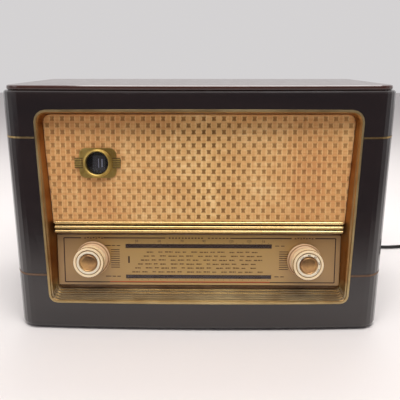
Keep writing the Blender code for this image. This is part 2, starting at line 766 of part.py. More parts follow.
def make_works():
    stand("valve_mixer", 0.110, 0.150, 0.062, 0.011, clear_glass)
    stand("valve_if_amplifier", 0.110, 0.205, 0.062, 0.011, clear_glass)
    stand("valve_detector", 0.020, 0.205, 0.062, 0.011, clear_glass)
    stand("valve_output", -0.060, 0.205, 0.070, 0.011, clear_glass)
    stand("filter_capacitor", -0.105, 0.150, 0.075, 0.0175, aluminium, 24, 0.15)
    for name, x, y in (("if_can_first", 0.155, 0.160), ("if_can_second", 0.065, 0.205)):
        can = block(name, (x - 0.0125, y - 0.0125, chassis_top + gap),
                    (x + 0.0125, y + 0.0125, chassis_top + 0.060), aluminium)
        bevel = can.modifiers.new("bevel", "BEVEL")
        bevel.width = 0.0025
        bevel.segments = 2
    for name, x, y, wide, deep, tall in (("mains_transformer", -0.165, 0.165, 0.060, 0.070, 0.066),
                                         ("output_transformer", 0.168, 0.215, 0.042, 0.036, 0.040)):
        z = chassis_top + gap
        core = block(name, (x - wide / 2, y - deep / 5, z), (x + wide / 2, y + deep / 5, z + tall), iron)
        coil = block("coil", (x - wide * 0.3, y - deep / 2, z + tall * 0.2),
                     (x + wide * 0.3, y + deep / 2, z + tall * 0.8), paper)
        join(core, coil)
    make_speaker()
    for side, label in ((-1, "left"), (1, "right")):
        base = face(side * 0.165, glass_top + 0.014, 0.040)
        turned(f"dial_lamp_{label}",
               [(0, 0), (0.0045, 0), (0.0045, 0.012), (0.0040, 0.013), (0.0050, 0.018), (0.0035, 0.024),
                (0, 0.0255)], base, (-side, 0, 0), clear_glass, 16)


def make_speaker():
    near = cloth_depth + cloth_thickness + baffle_thickness + 2 * gap

    def at(n):
        return face(speaker_x, speaker_height, n)

    depth = speaker_depth
    rim, throat = speaker_radius, 0.024
    sheet, waist = 0.0012, depth * 0.62
    turned("speaker_basket",
           [(rim - 0.008, 0.0), (rim, 0.0), (rim, -sheet), (rim - 0.005, -sheet - 0.001),
            (throat + 0.006, -waist), (throat + 0.006, -waist - sheet), (0.0125, -waist - sheet),
            (0.0125, -waist), (throat + 0.004, -waist + sheet), (rim - 0.008, -sheet - 0.002)],
           at(near), front_out, steel, 28)
    turned("speaker_cone",
           [(0, -depth * 0.48), (0.012, -depth * 0.50), (rim - 0.0105, -0.0030), (rim - 0.0105, -0.0042),
            (0.0115, -depth * 0.50 - 0.0012), (0.0115, -depth * 0.56), (0, -depth * 0.56)],
           at(near), front_out, paper, 24)
    magnet_start, magnet_length = waist + sheet + gap, 0.027
    turned("speaker_magnet",
           [(0, 0.0), (0.0235, 0.0), (0.0245, 0.001), (0.0245, magnet_length - 0.001),
            (0.0235, magnet_length), (0, magnet_length)],
           at(near + magnet_start + magnet_length), front_out, iron, 28)


# ---------------------------------------------------------------- back, feet and mains lead
gland_x = 0.170
gland_z = 0.034
gland_length = 0.024
back_outer = case_depth - back_recess


def make_back():
    """The pressed board back, slotted for air, with its socket strip and the lead's gland."""
    rim = case_outline(wall + 0.0006)
    near, far = back_outer - back_thickness, back_outer
    panel = loft("back_panel", [[place(x, y, z) for x, z in rim] for y in (near, far)], pressboard)
    slot_half, slot_wide, slot_pitch, columns = 0.020, 0.003, 0.0125, 5
    for row, z in enumerate((0.105, 0.205, 0.265)):
        for column in range(-columns, columns + 1):
            x = column * slot_pitch * 2
            tall = slot_half if row != 2 else slot_half * 0.6
            slot = block("slot", (x - slot_wide, near - 0.005, z - tall),
                         (x + slot_wide, far + 0.005, z + tall), pressboard)
            cut(panel, slot)
    hole = rod("hole", place(gland_x, near - 0.01, gland_z), place(gland_x, far + 0.01, gland_z), 0.0062,
               pressboard, 20)
    cut(panel, hole)
    strip = block("socket_strip", (-0.070, far + gap, 0.022), (-0.006, case_depth - 0.0004, 0.042),
                  bakelite)
    for i in range(4):
        x = -0.062 + 0.016 * i
        hole = rod("hole", place(x, far + 0.0015, 0.032), place(x, far + 0.02, 0.032), 0.0024, bakelite, 12)
        cut(strip, hole)
    profile = [(0, 0.0), (0.0056, 0.0), (0.0056, back_thickness + 0.002),
               (0.0085, back_thickness + 0.0024), (0.0085, back_thickness + 0.0052),
               (0.0062, back_thickness + 0.0070), (0.0042, gland_length), (0, gland_length)]
    turned("cord_gland", profile, place(gland_x, near - 0.001, gland_z), (0, 1, 0), rubber, 20)


def make_feet():
    x, near, far = bottom_width / 2 - side_room, 0.045, case_depth - 0.035
    for name, x, y in (("front_left", -x, near), ("front_right", x, near), ("rear_left", -x, far),
                       ("rear_right", x, far)):
        turned(f"foot_{name}", [(0, 0), (0.0105, 0), (0.0115, foot_height - gap), (0, foot_height - gap)],
               Vector((x, y + y_shift, 0)), (0, 0, 1), rubber, 24)


# The lead lies along these points and ends at the coil; y is measured from the back of the case.
cord_route = [
    (0.1700, 0.0152, 0.0370), (0.1700, 0.0260, 0.0362), (0.1702, 0.0365, 0.0325),
    (0.1712, 0.0462, 0.0255), (0.1738, 0.0552, 0.0165), (0.1785, 0.0640, 0.0085),
    (0.1855, 0.0722, 0.0043), (0.1955, 0.0788, 0.0032), (0.2100, 0.0820, 0.0032),
    (0.2280, 0.0780, 0.0032), (0.2460, 0.0660, 0.0032), (0.2640, 0.0500, 0.0032),
    (0.2830, 0.0330, 0.0032), (0.3030, 0.0175, 0.0032), (0.3250, 0.0050, 0.0032),
    (0.3480, -0.0025, 0.0032), (0.3720, -0.0055, 0.0032), (0.3960, -0.0035, 0.0032),
    (0.4200, 0.0012, 0.0032), (0.4420, 0.0060, 0.0032), (0.4610, 0.0077, 0.0032)
]
coil_centre = (0.4610, -0.0413)
coil_inner = 0.0270
coil_outer = 0.0455
coil_height = 0.0126
plug_tail = (-0.0177, 0.0304)


def smooth_route(points, per_span=4):
    """Points along a smooth curve through the route's own points."""
    route = [Vector(p) for p in points]
    padded = [2 * route[0] - route[1]] + route + [2 * route[-1] - route[-2]]
    out = []
    for a, b, c, d in zip(padded, padded[1:], padded[2:], padded[3:]):
        for i in range(per_span):
            t = i / per_span
            out.append(0.5 * ((2 * b) + (c - a) * t + (2 * a - 5 * b + 4 * c - d) * t ** 2
                              + (3 * b - a - 3 * c + d) * t ** 3))
    return out + [route[-1]]


def make_lead():
    """The mains lead along the table, its wound spare length, and the plug lying on the coil."""
    curve = bpy.data.curves.new("mains_cord", "CURVE")
    curve.dimensions = "3D"
    curve.bevel_depth = cord_diameter / 2
    curve.bevel_resolution = 2
    curve.use_fill_caps = True
    points = smooth_route(cord_route, 2)
    back = case_depth + y_shift
    spline = curve.splines.new("POLY")
    spline.points.add(len(points) - 1)
    for target, point in zip(spline.points, points):
        target.co = (point.x, point.y + back, point.z, 1)
    lead = bpy.data.objects.new("mains_cord", curve)
    bpy.context.scene.collection.objects.link(lead)
    dress(lead, rubber)
    x, y = coil_centre
    turned("cord_coil",
           [(coil_inner, gap), (coil_outer, gap), (coil_outer, coil_height), (coil_inner, coil_height)],
           Vector((x, y + back, 0)), (0, 0, 1), rubber, 32)
    z = coil_height + gap
    body = 0.018
    tail, side = x + plug_tail[0], y + plug_tail[1] + back
    loops = []
    for share, size in ((0.0, 0.45), (0.30, 0.55), (0.42, 1.0), (0.95, 1.0), (1.0, 0.85)):
        along = tail + plug_length * 0.70 * share
        loops.append([Vector((along, side + dy * size * 0.0155, z + body / 2 + dz * size * body / 2))
                      for dy, dz in arc(0, 0, 1, 0, 337.5, 15)])
    plug = loft("mains_plug", loops, bakelite)
    end = tail + plug_length * 0.70
    for sign in (-1, 1):
        pin = rod("pin", Vector((end - 0.003, side + sign * 0.0095, z + body / 2)),
                  Vector((end + 0.019, side + sign * 0.0095, z + body / 2)), 0.002, brass, 12)
        join(plug, pin)


case = make_case()
front = make_front_frame()
make_inlays(front, case)
make_lid()
make_bezel()
make_grille()
make_dial()
make_eye()
make_controls()
make_tuning()
make_chassis()
make_works()
make_back()
make_feet()
make_lead()
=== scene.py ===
# %% [markdown]
# # A table radio, dressed in its real finishes
# The radio's solid parts are already built and packed: they arrive as a fixed frame that never moves or changes.
# This lesson dresses them.  Each part gets a material made from nodes, and whatever the frame is too plain for,
# such as the woven grille cloth, the fluted knobs or the marks on the dial, is modelled here and fixed to the body
# it moves with.

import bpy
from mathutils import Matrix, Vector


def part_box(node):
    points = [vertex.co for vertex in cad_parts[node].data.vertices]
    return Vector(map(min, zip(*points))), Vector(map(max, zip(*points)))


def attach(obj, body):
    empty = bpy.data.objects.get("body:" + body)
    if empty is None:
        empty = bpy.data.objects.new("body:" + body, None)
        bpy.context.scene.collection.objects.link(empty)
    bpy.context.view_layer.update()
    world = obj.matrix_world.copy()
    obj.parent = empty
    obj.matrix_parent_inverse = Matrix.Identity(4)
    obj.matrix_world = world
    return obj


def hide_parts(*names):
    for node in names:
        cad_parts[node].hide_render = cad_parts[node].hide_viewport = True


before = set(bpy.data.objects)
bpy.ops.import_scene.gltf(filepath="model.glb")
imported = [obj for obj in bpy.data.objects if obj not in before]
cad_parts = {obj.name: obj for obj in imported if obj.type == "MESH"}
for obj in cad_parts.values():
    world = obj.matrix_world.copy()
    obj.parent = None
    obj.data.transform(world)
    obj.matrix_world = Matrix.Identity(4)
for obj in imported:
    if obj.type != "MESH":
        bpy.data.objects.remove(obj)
print("frame parts:", len(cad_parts))

# %% Imports, and an update of the scene
import math

import bpy
from mathutils import Matrix, Vector

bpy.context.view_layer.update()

# %% [markdown]
# ## Two workbenches
# The case stands square on the table, but the whole front leans back by 11.4 degrees.  It is easier to model a
# front piece lying flat, with x across, y up the front and z towards the listener, and to lean it back when it is
# finished.  So there are two benches, one for the case and one for the front, and each is a matrix that carries a
# finished piece to its place.  Most heights on the front's bench are negative, because they lie behind the front;
# only the knobs stand out of it.

# %% Moves and turns, written as matrices


def at(x, y, z):
    return Matrix.Translation((x, y, z))


def spin(degrees, axis):
    return Matrix.Rotation(math.radians(degrees), 4, axis)


print("a quarter turn about z carries x to", [round(v) for v in spin(90, "Z") @ Vector((1, 0, 0))])

# %% The benches
lean = math.radians(11.4)
foot_height = 0.003
case_shift = -0.137119
face_setback = 0.0085
CASE = at(0, case_shift, foot_height)
front_up = Vector((0, math.sin(lean), math.cos(lean)))
front_out = Vector((0, -math.cos(lean), math.sin(lean)))
FRONT = at(0, case_shift - face_setback, foot_height) @ Matrix(
    ((1, front_up.x, front_out.x), (0, front_up.y, front_out.y), (0, front_up.z, front_out.z))).to_4x4()
IN_PLACE = Matrix.Identity(4)
print("front leans", round(math.degrees(lean), 1), "degrees")

# %% [markdown]
# ## The camera
# A camera is placed before anything is dressed, because it decides how fine the work has to be.  It stands a
# little above the lid, almost straight in front, and looks down at the dial.  From 65 cm away, a lens of about 38
# mm gives a mild perspective.

# %% Place the camera
optics = bpy.data.cameras.new("camera")
optics.sensor_width = 36.0
optics.lens = 38.18
optics.clip_start = 0.01
camera = bpy.data.objects.new("camera", optics)
bpy.context.scene.collection.objects.link(camera)
camera.location = (0.0073, -0.6517, 0.3611)
looks_down, turns_left = 18.19, 0.545
camera.rotation_euler = (math.radians(90 - looks_down), 0, math.radians(turns_left))
bpy.context.scene.camera = camera
print("camera:", optics.lens, "mm")

# %% [markdown]
# ## The mains lead
# A lead of this age is 1.8 m of round rubber cord, 6 mm thick.  It leaves the back through a gland, sinks to the
# table under its own weight, and runs off to the right.  What isn't needed is wound into a flat coil of six turns
# in two layers, with the plug resting on it.  A curve suits a cord: the line is drawn once, and a round bevel of
# one unit, times each point's own radius, gives the thickness.  The coil is a circle whose radius steps in by one
# diameter in every lower turn.  It climbs at the middle, and steps out again above.

# %% The lead's route from the gland to the coil
cord_diameter = 0.006
coil_x, coil_y = 0.4610, 0.2387
lead_route = [(0.1700, 0.2952, 0.0370), (0.1700, 0.3060, 0.0362), (0.1702, 0.3165, 0.0325), (0.1712, 0.3262, 0.0255),
              (0.1738, 0.3352, 0.0165), (0.1785, 0.3440, 0.0085), (0.1855, 0.3522, 0.0043), (0.1955, 0.3588, 0.0032),
              (0.2100, 0.3620, 0.0032), (0.2280, 0.3580, 0.0032), (0.2460, 0.3460, 0.0032), (0.2640, 0.3300, 0.0032),
              (0.2830, 0.3130, 0.0032), (0.3030, 0.2975, 0.0032), (0.3250, 0.2850, 0.0032), (0.3480, 0.2775, 0.0032),
              (0.3720, 0.2745, 0.0032), (0.3960, 0.2765, 0.0032), (0.4200, 0.2812, 0.0032), (0.4420, 0.2860, 0.0032),
              (0.4610, 0.2877, 0.0032)]


def eased(t):
    """0 before 0, 1 after 1, and a smooth rise between them."""
    t = min(max(t, 0.0), 1.0)
    return t * t * (3 - 2 * t)


print("points before the coil:", len(lead_route))

# %% The coil, turn by turn
turn_pitch = 0.0062
turns_done = 5.80
points_a_turn = 16
start_radius = 0.0490
low_layer = 0.0032
steps_in, steps_out = (0.0, 1.0, 2.0), (3.5, 4.5)
climb_starts, lift_starts = 2.75, 5.35
plug_lift = 0.0088


def coil_point(turn):
    """Where the lead is after so many turns: its angle falls, because the coil is wound clockwise."""
    inward = sum(eased((turn - start) / 0.5) for start in steps_in)
    outward = sum(eased((turn - start) / 0.5) for start in steps_out)
    radius = start_radius - turn_pitch * (inward - outward)
    climb, lift = eased((turn - climb_starts) / 0.6), eased((turn - lift_starts) / 0.62)
    height = low_layer + turn_pitch * climb + plug_lift * lift
    angle = math.radians(90) - 2 * math.pi * turn
    return (coil_x + radius * math.cos(angle), coil_y + radius * math.sin(angle), height)


coil_steps = round(turns_done * points_a_turn)
coil = [coil_point(turns_done * i / coil_steps) for i in range(1, coil_steps + 1)]
print("coil points:", len(coil))

# %% The last bend, from the coil up into the plug
bend_radius = 0.024
plug_height = 0.0219
leaving = math.radians(90) - 2 * math.pi * turns_done
heading = math.atan2(-math.cos(leaving), math.sin(leaving))
bend_x = coil[-1][0] + bend_radius * math.sin(heading)
bend_y = coil[-1][1] - bend_radius * math.cos(heading)
bend = []
for share in (0.25, 0.5, 0.75, 1.0):
    way = heading * (1 - share)
    bend.append((bend_x - bend_radius * math.sin(way), bend_y + bend_radius * math.cos(way),
                 coil[-1][2] + (plug_height - coil[-1][2]) * share))
into_plug = (bend[-1][0] + 0.006, bend[-1][1], plug_height)
cord_points = [Vector(p) for p in lead_route + coil + bend + [into_plug]]
print("the lead enters its plug at", [round(v, 4) for v in bend[-1]])

# %% Draw the lead
lead_curve = bpy.data.curves.new("mains_lead", "CURVE")
lead_curve.dimensions = "3D"
lead_curve.resolution_u = 3
lead_curve.bevel_depth = 1.0
lead_curve.bevel_resolution = 3
lead_curve.use_fill_caps = True
spline = lead_curve.splines.new("BEZIER")
spline.bezier_points.add(len(cord_points) - 1)
for knot, point in zip(spline.bezier_points, cord_points):
    knot.co = point + Vector((0, case_shift, 0))
    knot.radius = cord_diameter / 2
    knot.handle_left_type = knot.handle_right_type = "AUTO"
lead = bpy.data.objects.new("mains_lead", lead_curve)
bpy.context.scene.collection.objects.link(lead)
print("lead points:", len(cord_points))

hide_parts("mains_cord", "cord_coil")
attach(lead, "case")

# %% [markdown]
# ## Writing a finish as arithmetic
# A finish is a small net of nodes.  Drawn by hand it sprawls, so it is written here as sums: a Wire holds one
# output socket and knows how to add, subtract, multiply, divide and clip, and each sum leaves a Math node behind
# it.  A Finish holds one material, its shader, and one method that adds any other node.


# %% Wires and finishes
class Wire:
    """One output socket that can be used in sums."""

    def __init__(self, tree, socket):
        self.tree = tree
        self.socket = socket

    def sum(self, operation, first, second=None):
        node = self.tree.nodes.new("ShaderNodeMath")
        node.operation = operation
        for socket, value in zip(node.inputs, (first, second)):
            if isinstance(value, Wire):
                self.tree.links.new(value.socket, socket)
            elif value is not None:
                socket.default_value = value
        return Wire(self.tree, node.outputs[0])

    def __add__(self, other):
        return self.sum("ADD", self, other)

    def __sub__(self, other):
        return self.sum("SUBTRACT", self, other)

    def __rsub__(self, other):
        return self.sum("SUBTRACT", other, self)

    def __mul__(self, other):
        return self.sum("MULTIPLY", self, other)

    def __truediv__(self, other):
        return self.sum("DIVIDE", self, other)

    __radd__ = __add__

    def size(self):
        """The value without its sign."""
        return self.sum("ABSOLUTE", self)

    def wave(self):
        return self.sum("SINE", self)

    def floor(self):
        return self.sum("FLOOR", self)

    def fraction(self):
        return self.sum("FRACT", self)

    def remainder(self, other):
        return self.sum("FLOORED_MODULO", self, other)

    def clipped(self):
        """The same value, but never above 1 or below 0."""
        return self.sum("MAXIMUM", self.sum("MINIMUM", self, 1.0), 0.0)


class Finish:
    """One material: its shader's plain values are set at once, and other nodes are added by node()."""

    def __init__(self, name, colour, roughness, **plain):
        self.material = bpy.data.materials.new(name)
        self.material.use_nodes = True
        self.tree = self.material.node_tree
        self.shader = self.tree.nodes["Principled BSDF"]
        self.set("Base Color", (*colour, 1))
        self.set("Roughness", roughness)
        for label, value in plain.items():
            self.set(label.replace("_", " "), value)
        self.material.diffuse_color = (*colour, 1)

    def set(self, label, value):
        if isinstance(value, Wire):
            self.tree.links.new(value.socket, self.shader.inputs[label])
        else:
            self.shader.inputs[label].default_value = value

    def node(self, kind, sockets, out=0, stops=(), **settings):
        made = self.tree.nodes.new("ShaderNode" + kind)
        for label, value in settings.items():
            setattr(made, label, value)
        if stops:
            ramp = made.color_ramp
            while len(ramp.elements) < len(stops):
                ramp.elements.new(1.0)
            for element, (position, colour) in zip(ramp.elements, stops):
                element.position = position
                element.color = (*colour, 1)
        for label, value in sockets.items():
            if isinstance(value, Wire):
                self.tree.links.new(value.socket, made.inputs[label])
            else:
                made.inputs[label].default_value = value
        return Wire(self.tree, made.outputs[out])

    def place(self):
        return self.node("TexCoord", {}, "Object")

    def axes(self, vector):
        return [self.node("SeparateXYZ", {"Vector": vector}, axis) for axis in "XYZ"]

    def speckle(self, scale, detail=3.0, vector=None, stretch=None):
        vector = vector or self.place()
        if stretch:
            vector = self.node("Mapping", {"Vector": vector, "Scale": stretch})
        return self.node("TexNoise", {"Vector": vector, "Scale": scale, "Detail": detail}, "Fac")

    def blend(self, factor, first, second):
        first, second = [v if isinstance(v, Wire) else (*v, 1) for v in (first, second)]
        return self.node("Mix", {0: factor, 6: first, 7: second}, 2, data_type="RGBA")

    def ramp(self, wire, *stops):
        return self.node("ValToRGB", {"Fac": wire}, 0, stops)

    def relief(self, height, depth, strength=1.0):
        self.set("Normal", self.node("Bump", {"Height": height, "Distance": depth, "Strength": strength}))
        return self

    def vary(self, wire, low, high):
        """Spreads a value of 0 to 1 between two numbers."""
        return wire * (high - low) + low


def tint(red, green, blue):
    """A colour as seen on a screen, 0 to 255, as the linear light that a shader wants."""
    return tuple((c / 255 / 12.92) if c <= 10 else ((c / 255 + 0.055) / 1.055) ** 2.4 for c in (red, green, blue))


print("finish tools ready")

# %% [markdown]
# ## Lacquer
# The case is veneered, stained almost black-brown and sprayed with many coats of cellulose lacquer, then polished.
# What is seen is mostly reflection.  Under it a faint figure of the wood shows, stretched along the boards, and
# the surface itself is never quite flat: a very low, slow relief makes reflections waver as they do in real
# lacquer.

# %% Lacquered wood


def lacquer(name, along, dark, light, coat):
    made = Finish(name, dark, 0.16, Coat_Weight=coat, Coat_Roughness=0.06, Coat_IOR=1.5)
    grain = made.speckle(9.0, 6.0, stretch=along)
    figure = made.speckle(34.0, 4.0, stretch=along)
    made.set("Base Color", made.ramp(grain * 0.65 + figure * 0.35, (0.30, dark), (0.52, light), (0.72, dark)))
    made.set("Roughness", made.vary(made.speckle(60.0, 2.0), 0.10, 0.24))
    sway = made.speckle(11.0, 1.0)
    pores = made.speckle(420.0, 2.0, stretch=along)
    return made.relief(sway * 0.75 + pores * 0.05, 0.0011, 0.25)


case_lacquer = lacquer("case_lacquer", (0.12, 1.0, 1.0), (0.0080, 0.0048, 0.0050), (0.0150, 0.0085, 0.0078), 0.6)
lid_lacquer = lacquer("lid_lacquer", (0.10, 1.0, 1.0), (0.0340, 0.0110, 0.0080), (0.0620, 0.0190, 0.0120), 0.35)
print("lacquers:", case_lacquer.material.name, lid_lacquer.material.name)

# %% [markdown]
# ## Brass
# Two kinds are used.  The surround, the knob caps and the eye's plate are brushed and lacquered, and have gone a
# greenish brown where hands and dust reach.  The three bars and the inlaid strips are polished and stay bright.  A
# metal's colour is its reflection's colour, so the metallic value is 1 and the base colour carries the tarnish.

# %% Brass finishes


def brass(name, clean, tarnished, roughness, patches=18.0):
    made = Finish(name, clean, roughness, Metallic=1.0)
    patch = made.speckle(patches, 5.0)
    fine = made.speckle(260.0, 3.0)
    made.set("Base Color", made.ramp(patch * 0.7 + fine * 0.3, (0.34, tarnished), (0.62, clean)))
    made.set("Roughness", made.vary(patch * 0.5 + fine * 0.5, roughness - 0.08, roughness + 0.14))
    brushed = made.speckle(500.0, 2.0, stretch=(0.05, 1.0, 1.0))
    return made.relief(brushed, 0.00005, 0.3)


satin_brass = brass("satin_brass", tint(208, 186, 136), tint(170, 144, 98), 0.36)
bright_brass = brass("bright_brass", tint(218, 194, 142), tint(180, 148, 94), 0.20, 5.0)
cap_brass = brass("cap_brass", tint(200, 158, 104), tint(158, 118, 88), 0.30, 40.0)
dull_brass = brass("dull_brass", tint(142, 118, 98), tint(108, 84, 70), 0.40)
print("brasses:", satin_brass.material.name, bright_brass.material.name, cap_brass.material.name)

# %% [markdown]
# ## The plain finishes
# Everything else repeats one idea: a base colour, a second colour that a fine noise brings in, a roughness that
# the same noise moves a little, and a low relief.  One function makes them, and each line below says what is
# special about its own material.

# %% One recipe for many finishes


def plain(name, colour, other, roughness, grain=220.0, relief=0.0002, metallic=0.0, **more):
    made = Finish(name, colour, roughness, Metallic=metallic, **more)
    noise = made.speckle(grain, 4.0)
    made.set("Base Color", made.blend(noise, colour, other))
    made.set("Roughness", made.vary(noise, max(roughness - 0.07, 0.02), min(roughness + 0.10, 1.0)))
    return made.relief(noise, relief, 0.4)


ivory = plain("cream_plastic", tint(255, 238, 202), tint(248, 218, 172), 0.30, 90.0, 0.00008, Coat_Weight=0.25,
              Subsurface_Weight=0.08, Subsurface_Radius=(0.004, 0.003, 0.002))
# The rings behind the knobs are a darker cream than the knobs: the darker tone is painted shade from the knob in
# front.
shaded_ring_ivory = plain("shaded_ring_plastic", tint(234, 202, 166), tint(208, 168, 124), 0.34, 90.0, 0.00008, Coat_Weight=0.2)
white_paint = plain("white_paint", tint(246, 236, 214), tint(232, 218, 188), 0.5, 400.0, 0.00003)
drum_plastic = plain("drum_plastic", tint(214, 196, 150), tint(190, 166, 118), 0.45, 120.0)
board = plain("baffle_board", tint(120, 88, 56), tint(92, 64, 38), 0.85, 500.0, 0.0004)
pointer_steel = plain("pointer_steel", tint(236, 226, 196), tint(206, 190, 150), 0.3, 400.0, 0.00005, 0.6)
plated_steel = plain("plated_steel", tint(190, 186, 172), tint(150, 144, 128), 0.34, 160.0, 0.0001, 1.0)
bare_steel = plain("bare_steel", tint(168, 168, 168), tint(128, 126, 122), 0.3, 300.0, 0.0001, 1.0)
aluminium = plain("can_aluminium", tint(200, 202, 204), tint(166, 168, 170), 0.36, 200.0, 0.0001, 1.0)
iron = plain("transformer_iron", tint(74, 70, 66), tint(52, 44, 40), 0.5, 180.0, 0.0003, 0.7)
cone_paper = plain("cone_paper", tint(52, 46, 42), tint(34, 30, 28), 0.9, 600.0, 0.0003)
bakelite = plain("bakelite", tint(44, 28, 20), tint(28, 18, 14), 0.26, 60.0, 0.0001, Coat_Weight=0.3)
cord_rubber = plain("cord_rubber", tint(40, 36, 34), tint(28, 26, 25), 0.55, 300.0, 0.0002)
foot_rubber = plain("foot_rubber", tint(34, 32, 31), tint(22, 21, 21), 0.75, 300.0, 0.0003)
# This dark brown is the real print on the dial and the band knob, and also painted shade behind the sill's beads and
# between the eye's ribs.
dark_print_and_shade = plain("dark_print_and_shade", tint(66, 34, 16), tint(48, 24, 12), 0.5, 300.0, 0.00002)
red_print = plain("red_print", tint(196, 92, 44), tint(172, 76, 36), 0.45, 300.0, 0.00002)
wax_paper = plain("waxed_paper", tint(196, 160, 96), tint(168, 128, 70), 0.4, 160.0, 0.0001)
cotton_red = plain("cotton_red", tint(150, 44, 34), tint(118, 32, 26), 0.8, 900.0, 0.0003)
cotton_black = plain("cotton_black", tint(46, 44, 44), tint(30, 30, 30), 0.8, 900.0, 0.0003)
cotton_cream = plain("cotton_cream", tint(206, 188, 146), tint(176, 156, 116), 0.8, 900.0, 0.0003)
clear_glass = plain("valve_glass", tint(226, 232, 230), tint(214, 224, 222), 0.06, 30.0, 0.00002,
                    Transmission_Weight=0.92, IOR=1.45)
print("finishes made:", len(bpy.data.materials))

# %% [markdown]
# ## Pressed board
# The back is brown hardboard: smooth on the outside, and flecked with darker and lighter fibres.  The flecks are a
# noise stretched along the board.

# %% Pressed board
pressboard = Finish("pressboard", tint(98, 66, 42), 0.78)
fibres = pressboard.speckle(240.0, 6.0, stretch=(0.25, 1.0, 1.0))
clouds = pressboard.speckle(9.0, 3.0)
pressboard.set("Base Color", pressboard.ramp(fibres * 0.6 + clouds * 0.4, (0.34, tint(68, 44, 28)),
                                             (0.52, tint(104, 72, 46)), (0.68, tint(138, 102, 68))))
pressboard.set("Roughness", pressboard.vary(clouds, 0.66, 0.90))
pressboard.relief(fibres, 0.0004, 0.4)
print("board finish:", pressboard.material.name)

# %% [markdown]
# ## Modelling tools
# Every new piece starts from a primitive and is shaped with the same operators as by hand.  An operator works on
# all that is selected, so each tool first deselects everything.  A finished piece is carried to its place by its
# bench's matrix, which is then applied, so its object stays at the origin and its place is in its mesh.

# %% Clearing the bench, and settling a finished piece


def clear_bench():
    if bpy.context.object and bpy.context.object.mode != "OBJECT":
        bpy.ops.object.mode_set(mode="OBJECT")
    bpy.ops.object.select_all(action="DESELECT")


def settle(piece, bench, finish, body, smooth=35):
    """Carries a piece to its place, gives it its finish, and fixes it to the body that it moves with."""
    clear_bench()
    piece.select_set(True)
    bpy.context.view_layer.objects.active = piece
    if smooth:
        bpy.ops.object.shade_smooth_by_angle(angle=math.radians(smooth))
    piece.matrix_world = bench @ piece.matrix_world
    bpy.ops.object.transform_apply(location=True, rotation=True, scale=True)
    piece.data.materials.clear()
    piece.data.materials.append(finish.material)
    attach(piece, body)
    return piece


print("bench tools ready")

# %% Joining, and copies of a model


def join_all(name, pieces):
    """Joins finished copies into one piece."""
    clear_bench()
    for piece in pieces:
        piece.select_set(True)
    bpy.context.view_layer.objects.active = pieces[0]
    if len(pieces) > 1:
        bpy.ops.object.join()
    pieces[0].name = name
    return pieces[0]


def copy_of(piece, matrix):
    """A copy with its own mesh, moved by a matrix."""
    twin = piece.copy()
    twin.data = piece.data.copy()
    twin.data.transform(matrix)
    bpy.context.scene.collection.objects.link(twin)
    return twin


def put_away(*models):
    """Removes models whose copies are all in place."""
    for model in models:
        bpy.data.objects.remove(model, do_unlink=True)


def repeated(name, model, places):
    """One piece joined from a copy of the model at each place."""
    copies = [copy_of(model, place) for place in places]
    put_away(model)
    return join_all(name, copies)


def settle_copy(model, name, bench, finish, body, smooth=35):
    """Settles one copy of a model under a name of its own."""
    piece = copy_of(model, IN_PLACE)
    piece.name = name
    return settle(piece, bench, finish, body, smooth)


print("copying tools ready")

# %% Picking points or faces


def pick(piece, kind, test):
    """Opens a piece in edit mode with only those of its points or faces selected that pass a test."""
    clear_bench()
    piece.select_set(True)
    bpy.context.view_layer.objects.active = piece
    bpy.ops.object.mode_set(mode="EDIT")
    bpy.ops.mesh.select_mode(type=kind)
    bpy.ops.mesh.select_all(action="DESELECT")
    bpy.ops.object.mode_set(mode="OBJECT")
    for element in piece.data.polygons if kind == "FACE" else piece.data.vertices:
        element.select = test(element)
    bpy.ops.object.mode_set(mode="EDIT")


print("picking tool ready")

# %% [markdown]
# ### Turned pieces
# A knob or a ring is turned on a lathe.  The same shape grows from a circle: its edge is extruded straight up and
# then scaled to the next radius, ring after ring, and a radius of nothing closes an end to a point.

# %% Turned pieces


def turned(name, rings, sides=48):
    """Rings are (radius, height), from the first to the last; a radius of 0 closes that end."""
    clear_bench()
    open_rings = [ring for ring in rings if ring[0] > 0]
    radius, height = open_rings[0]
    bpy.ops.mesh.primitive_circle_add(vertices=sides, radius=radius, location=(0, 0, height))
    piece = bpy.context.object
    bpy.ops.object.transform_apply()
    piece.name = name
    bpy.ops.object.mode_set(mode="EDIT")
    if rings[0][0] <= 0:
        close_end(rings[0][1] - height)
        bpy.ops.mesh.select_all(action="SELECT")
        bpy.ops.mesh.select_mode(type="EDGE")
        bpy.ops.mesh.region_to_loop()
    for (before, low), (after, high) in zip(open_rings, open_rings[1:]):
        bpy.ops.mesh.extrude_edges_move(TRANSFORM_OT_translate={"value": (0, 0, high - low)})
        if abs(after - before) > 1e-9:
            bpy.ops.transform.resize(value=(after / before, after / before, 1), center_override=(0, 0, high))
    if rings[-1][0] <= 0:
        close_end(rings[-1][1] - open_rings[-1][1])
    bpy.ops.mesh.select_all(action="SELECT")
    if rings[0][0] > 0 and rings[0] == rings[-1]:
        bpy.ops.mesh.remove_doubles(threshold=1e-6)
    bpy.ops.mesh.normals_make_consistent(inside=False)
    bpy.ops.object.mode_set(mode="OBJECT")
    return piece


def close_end(step):
    """Extrudes the selected ring along the axis and merges it into a pole."""
    bpy.ops.mesh.extrude_edges_move(TRANSFORM_OT_translate={"value": (0, 0, step)})
    bpy.ops.mesh.merge(type="CENTER")


print("lathe ready")

# %% [markdown]
# ### Blocks and printed strokes
# A block is a cube scaled to its size with its edges bevelled.  Print on the dial is thinner than a hair, but it
# is still a layer of paint with an edge, so a stroke is a flat plate, modelled once, copied for each mark and
# joined.

# %% Blocks and strokes


def block(name, low, high, bevel=0.0):
    """A block between two corners, with its edges bevelled."""
    clear_bench()
    low, high = Vector(low), Vector(high)
    bpy.ops.mesh.primitive_cube_add(size=1, location=(low + high) / 2)
    piece = bpy.context.object
    piece.name = name
    piece.scale = high - low
    bpy.ops.object.transform_apply()
    if bevel:
        bpy.ops.object.mode_set(mode="EDIT")
        bpy.ops.mesh.bevel(offset=bevel, segments=2, affect="EDGES")
        bpy.ops.object.mode_set(mode="OBJECT")
    return piece


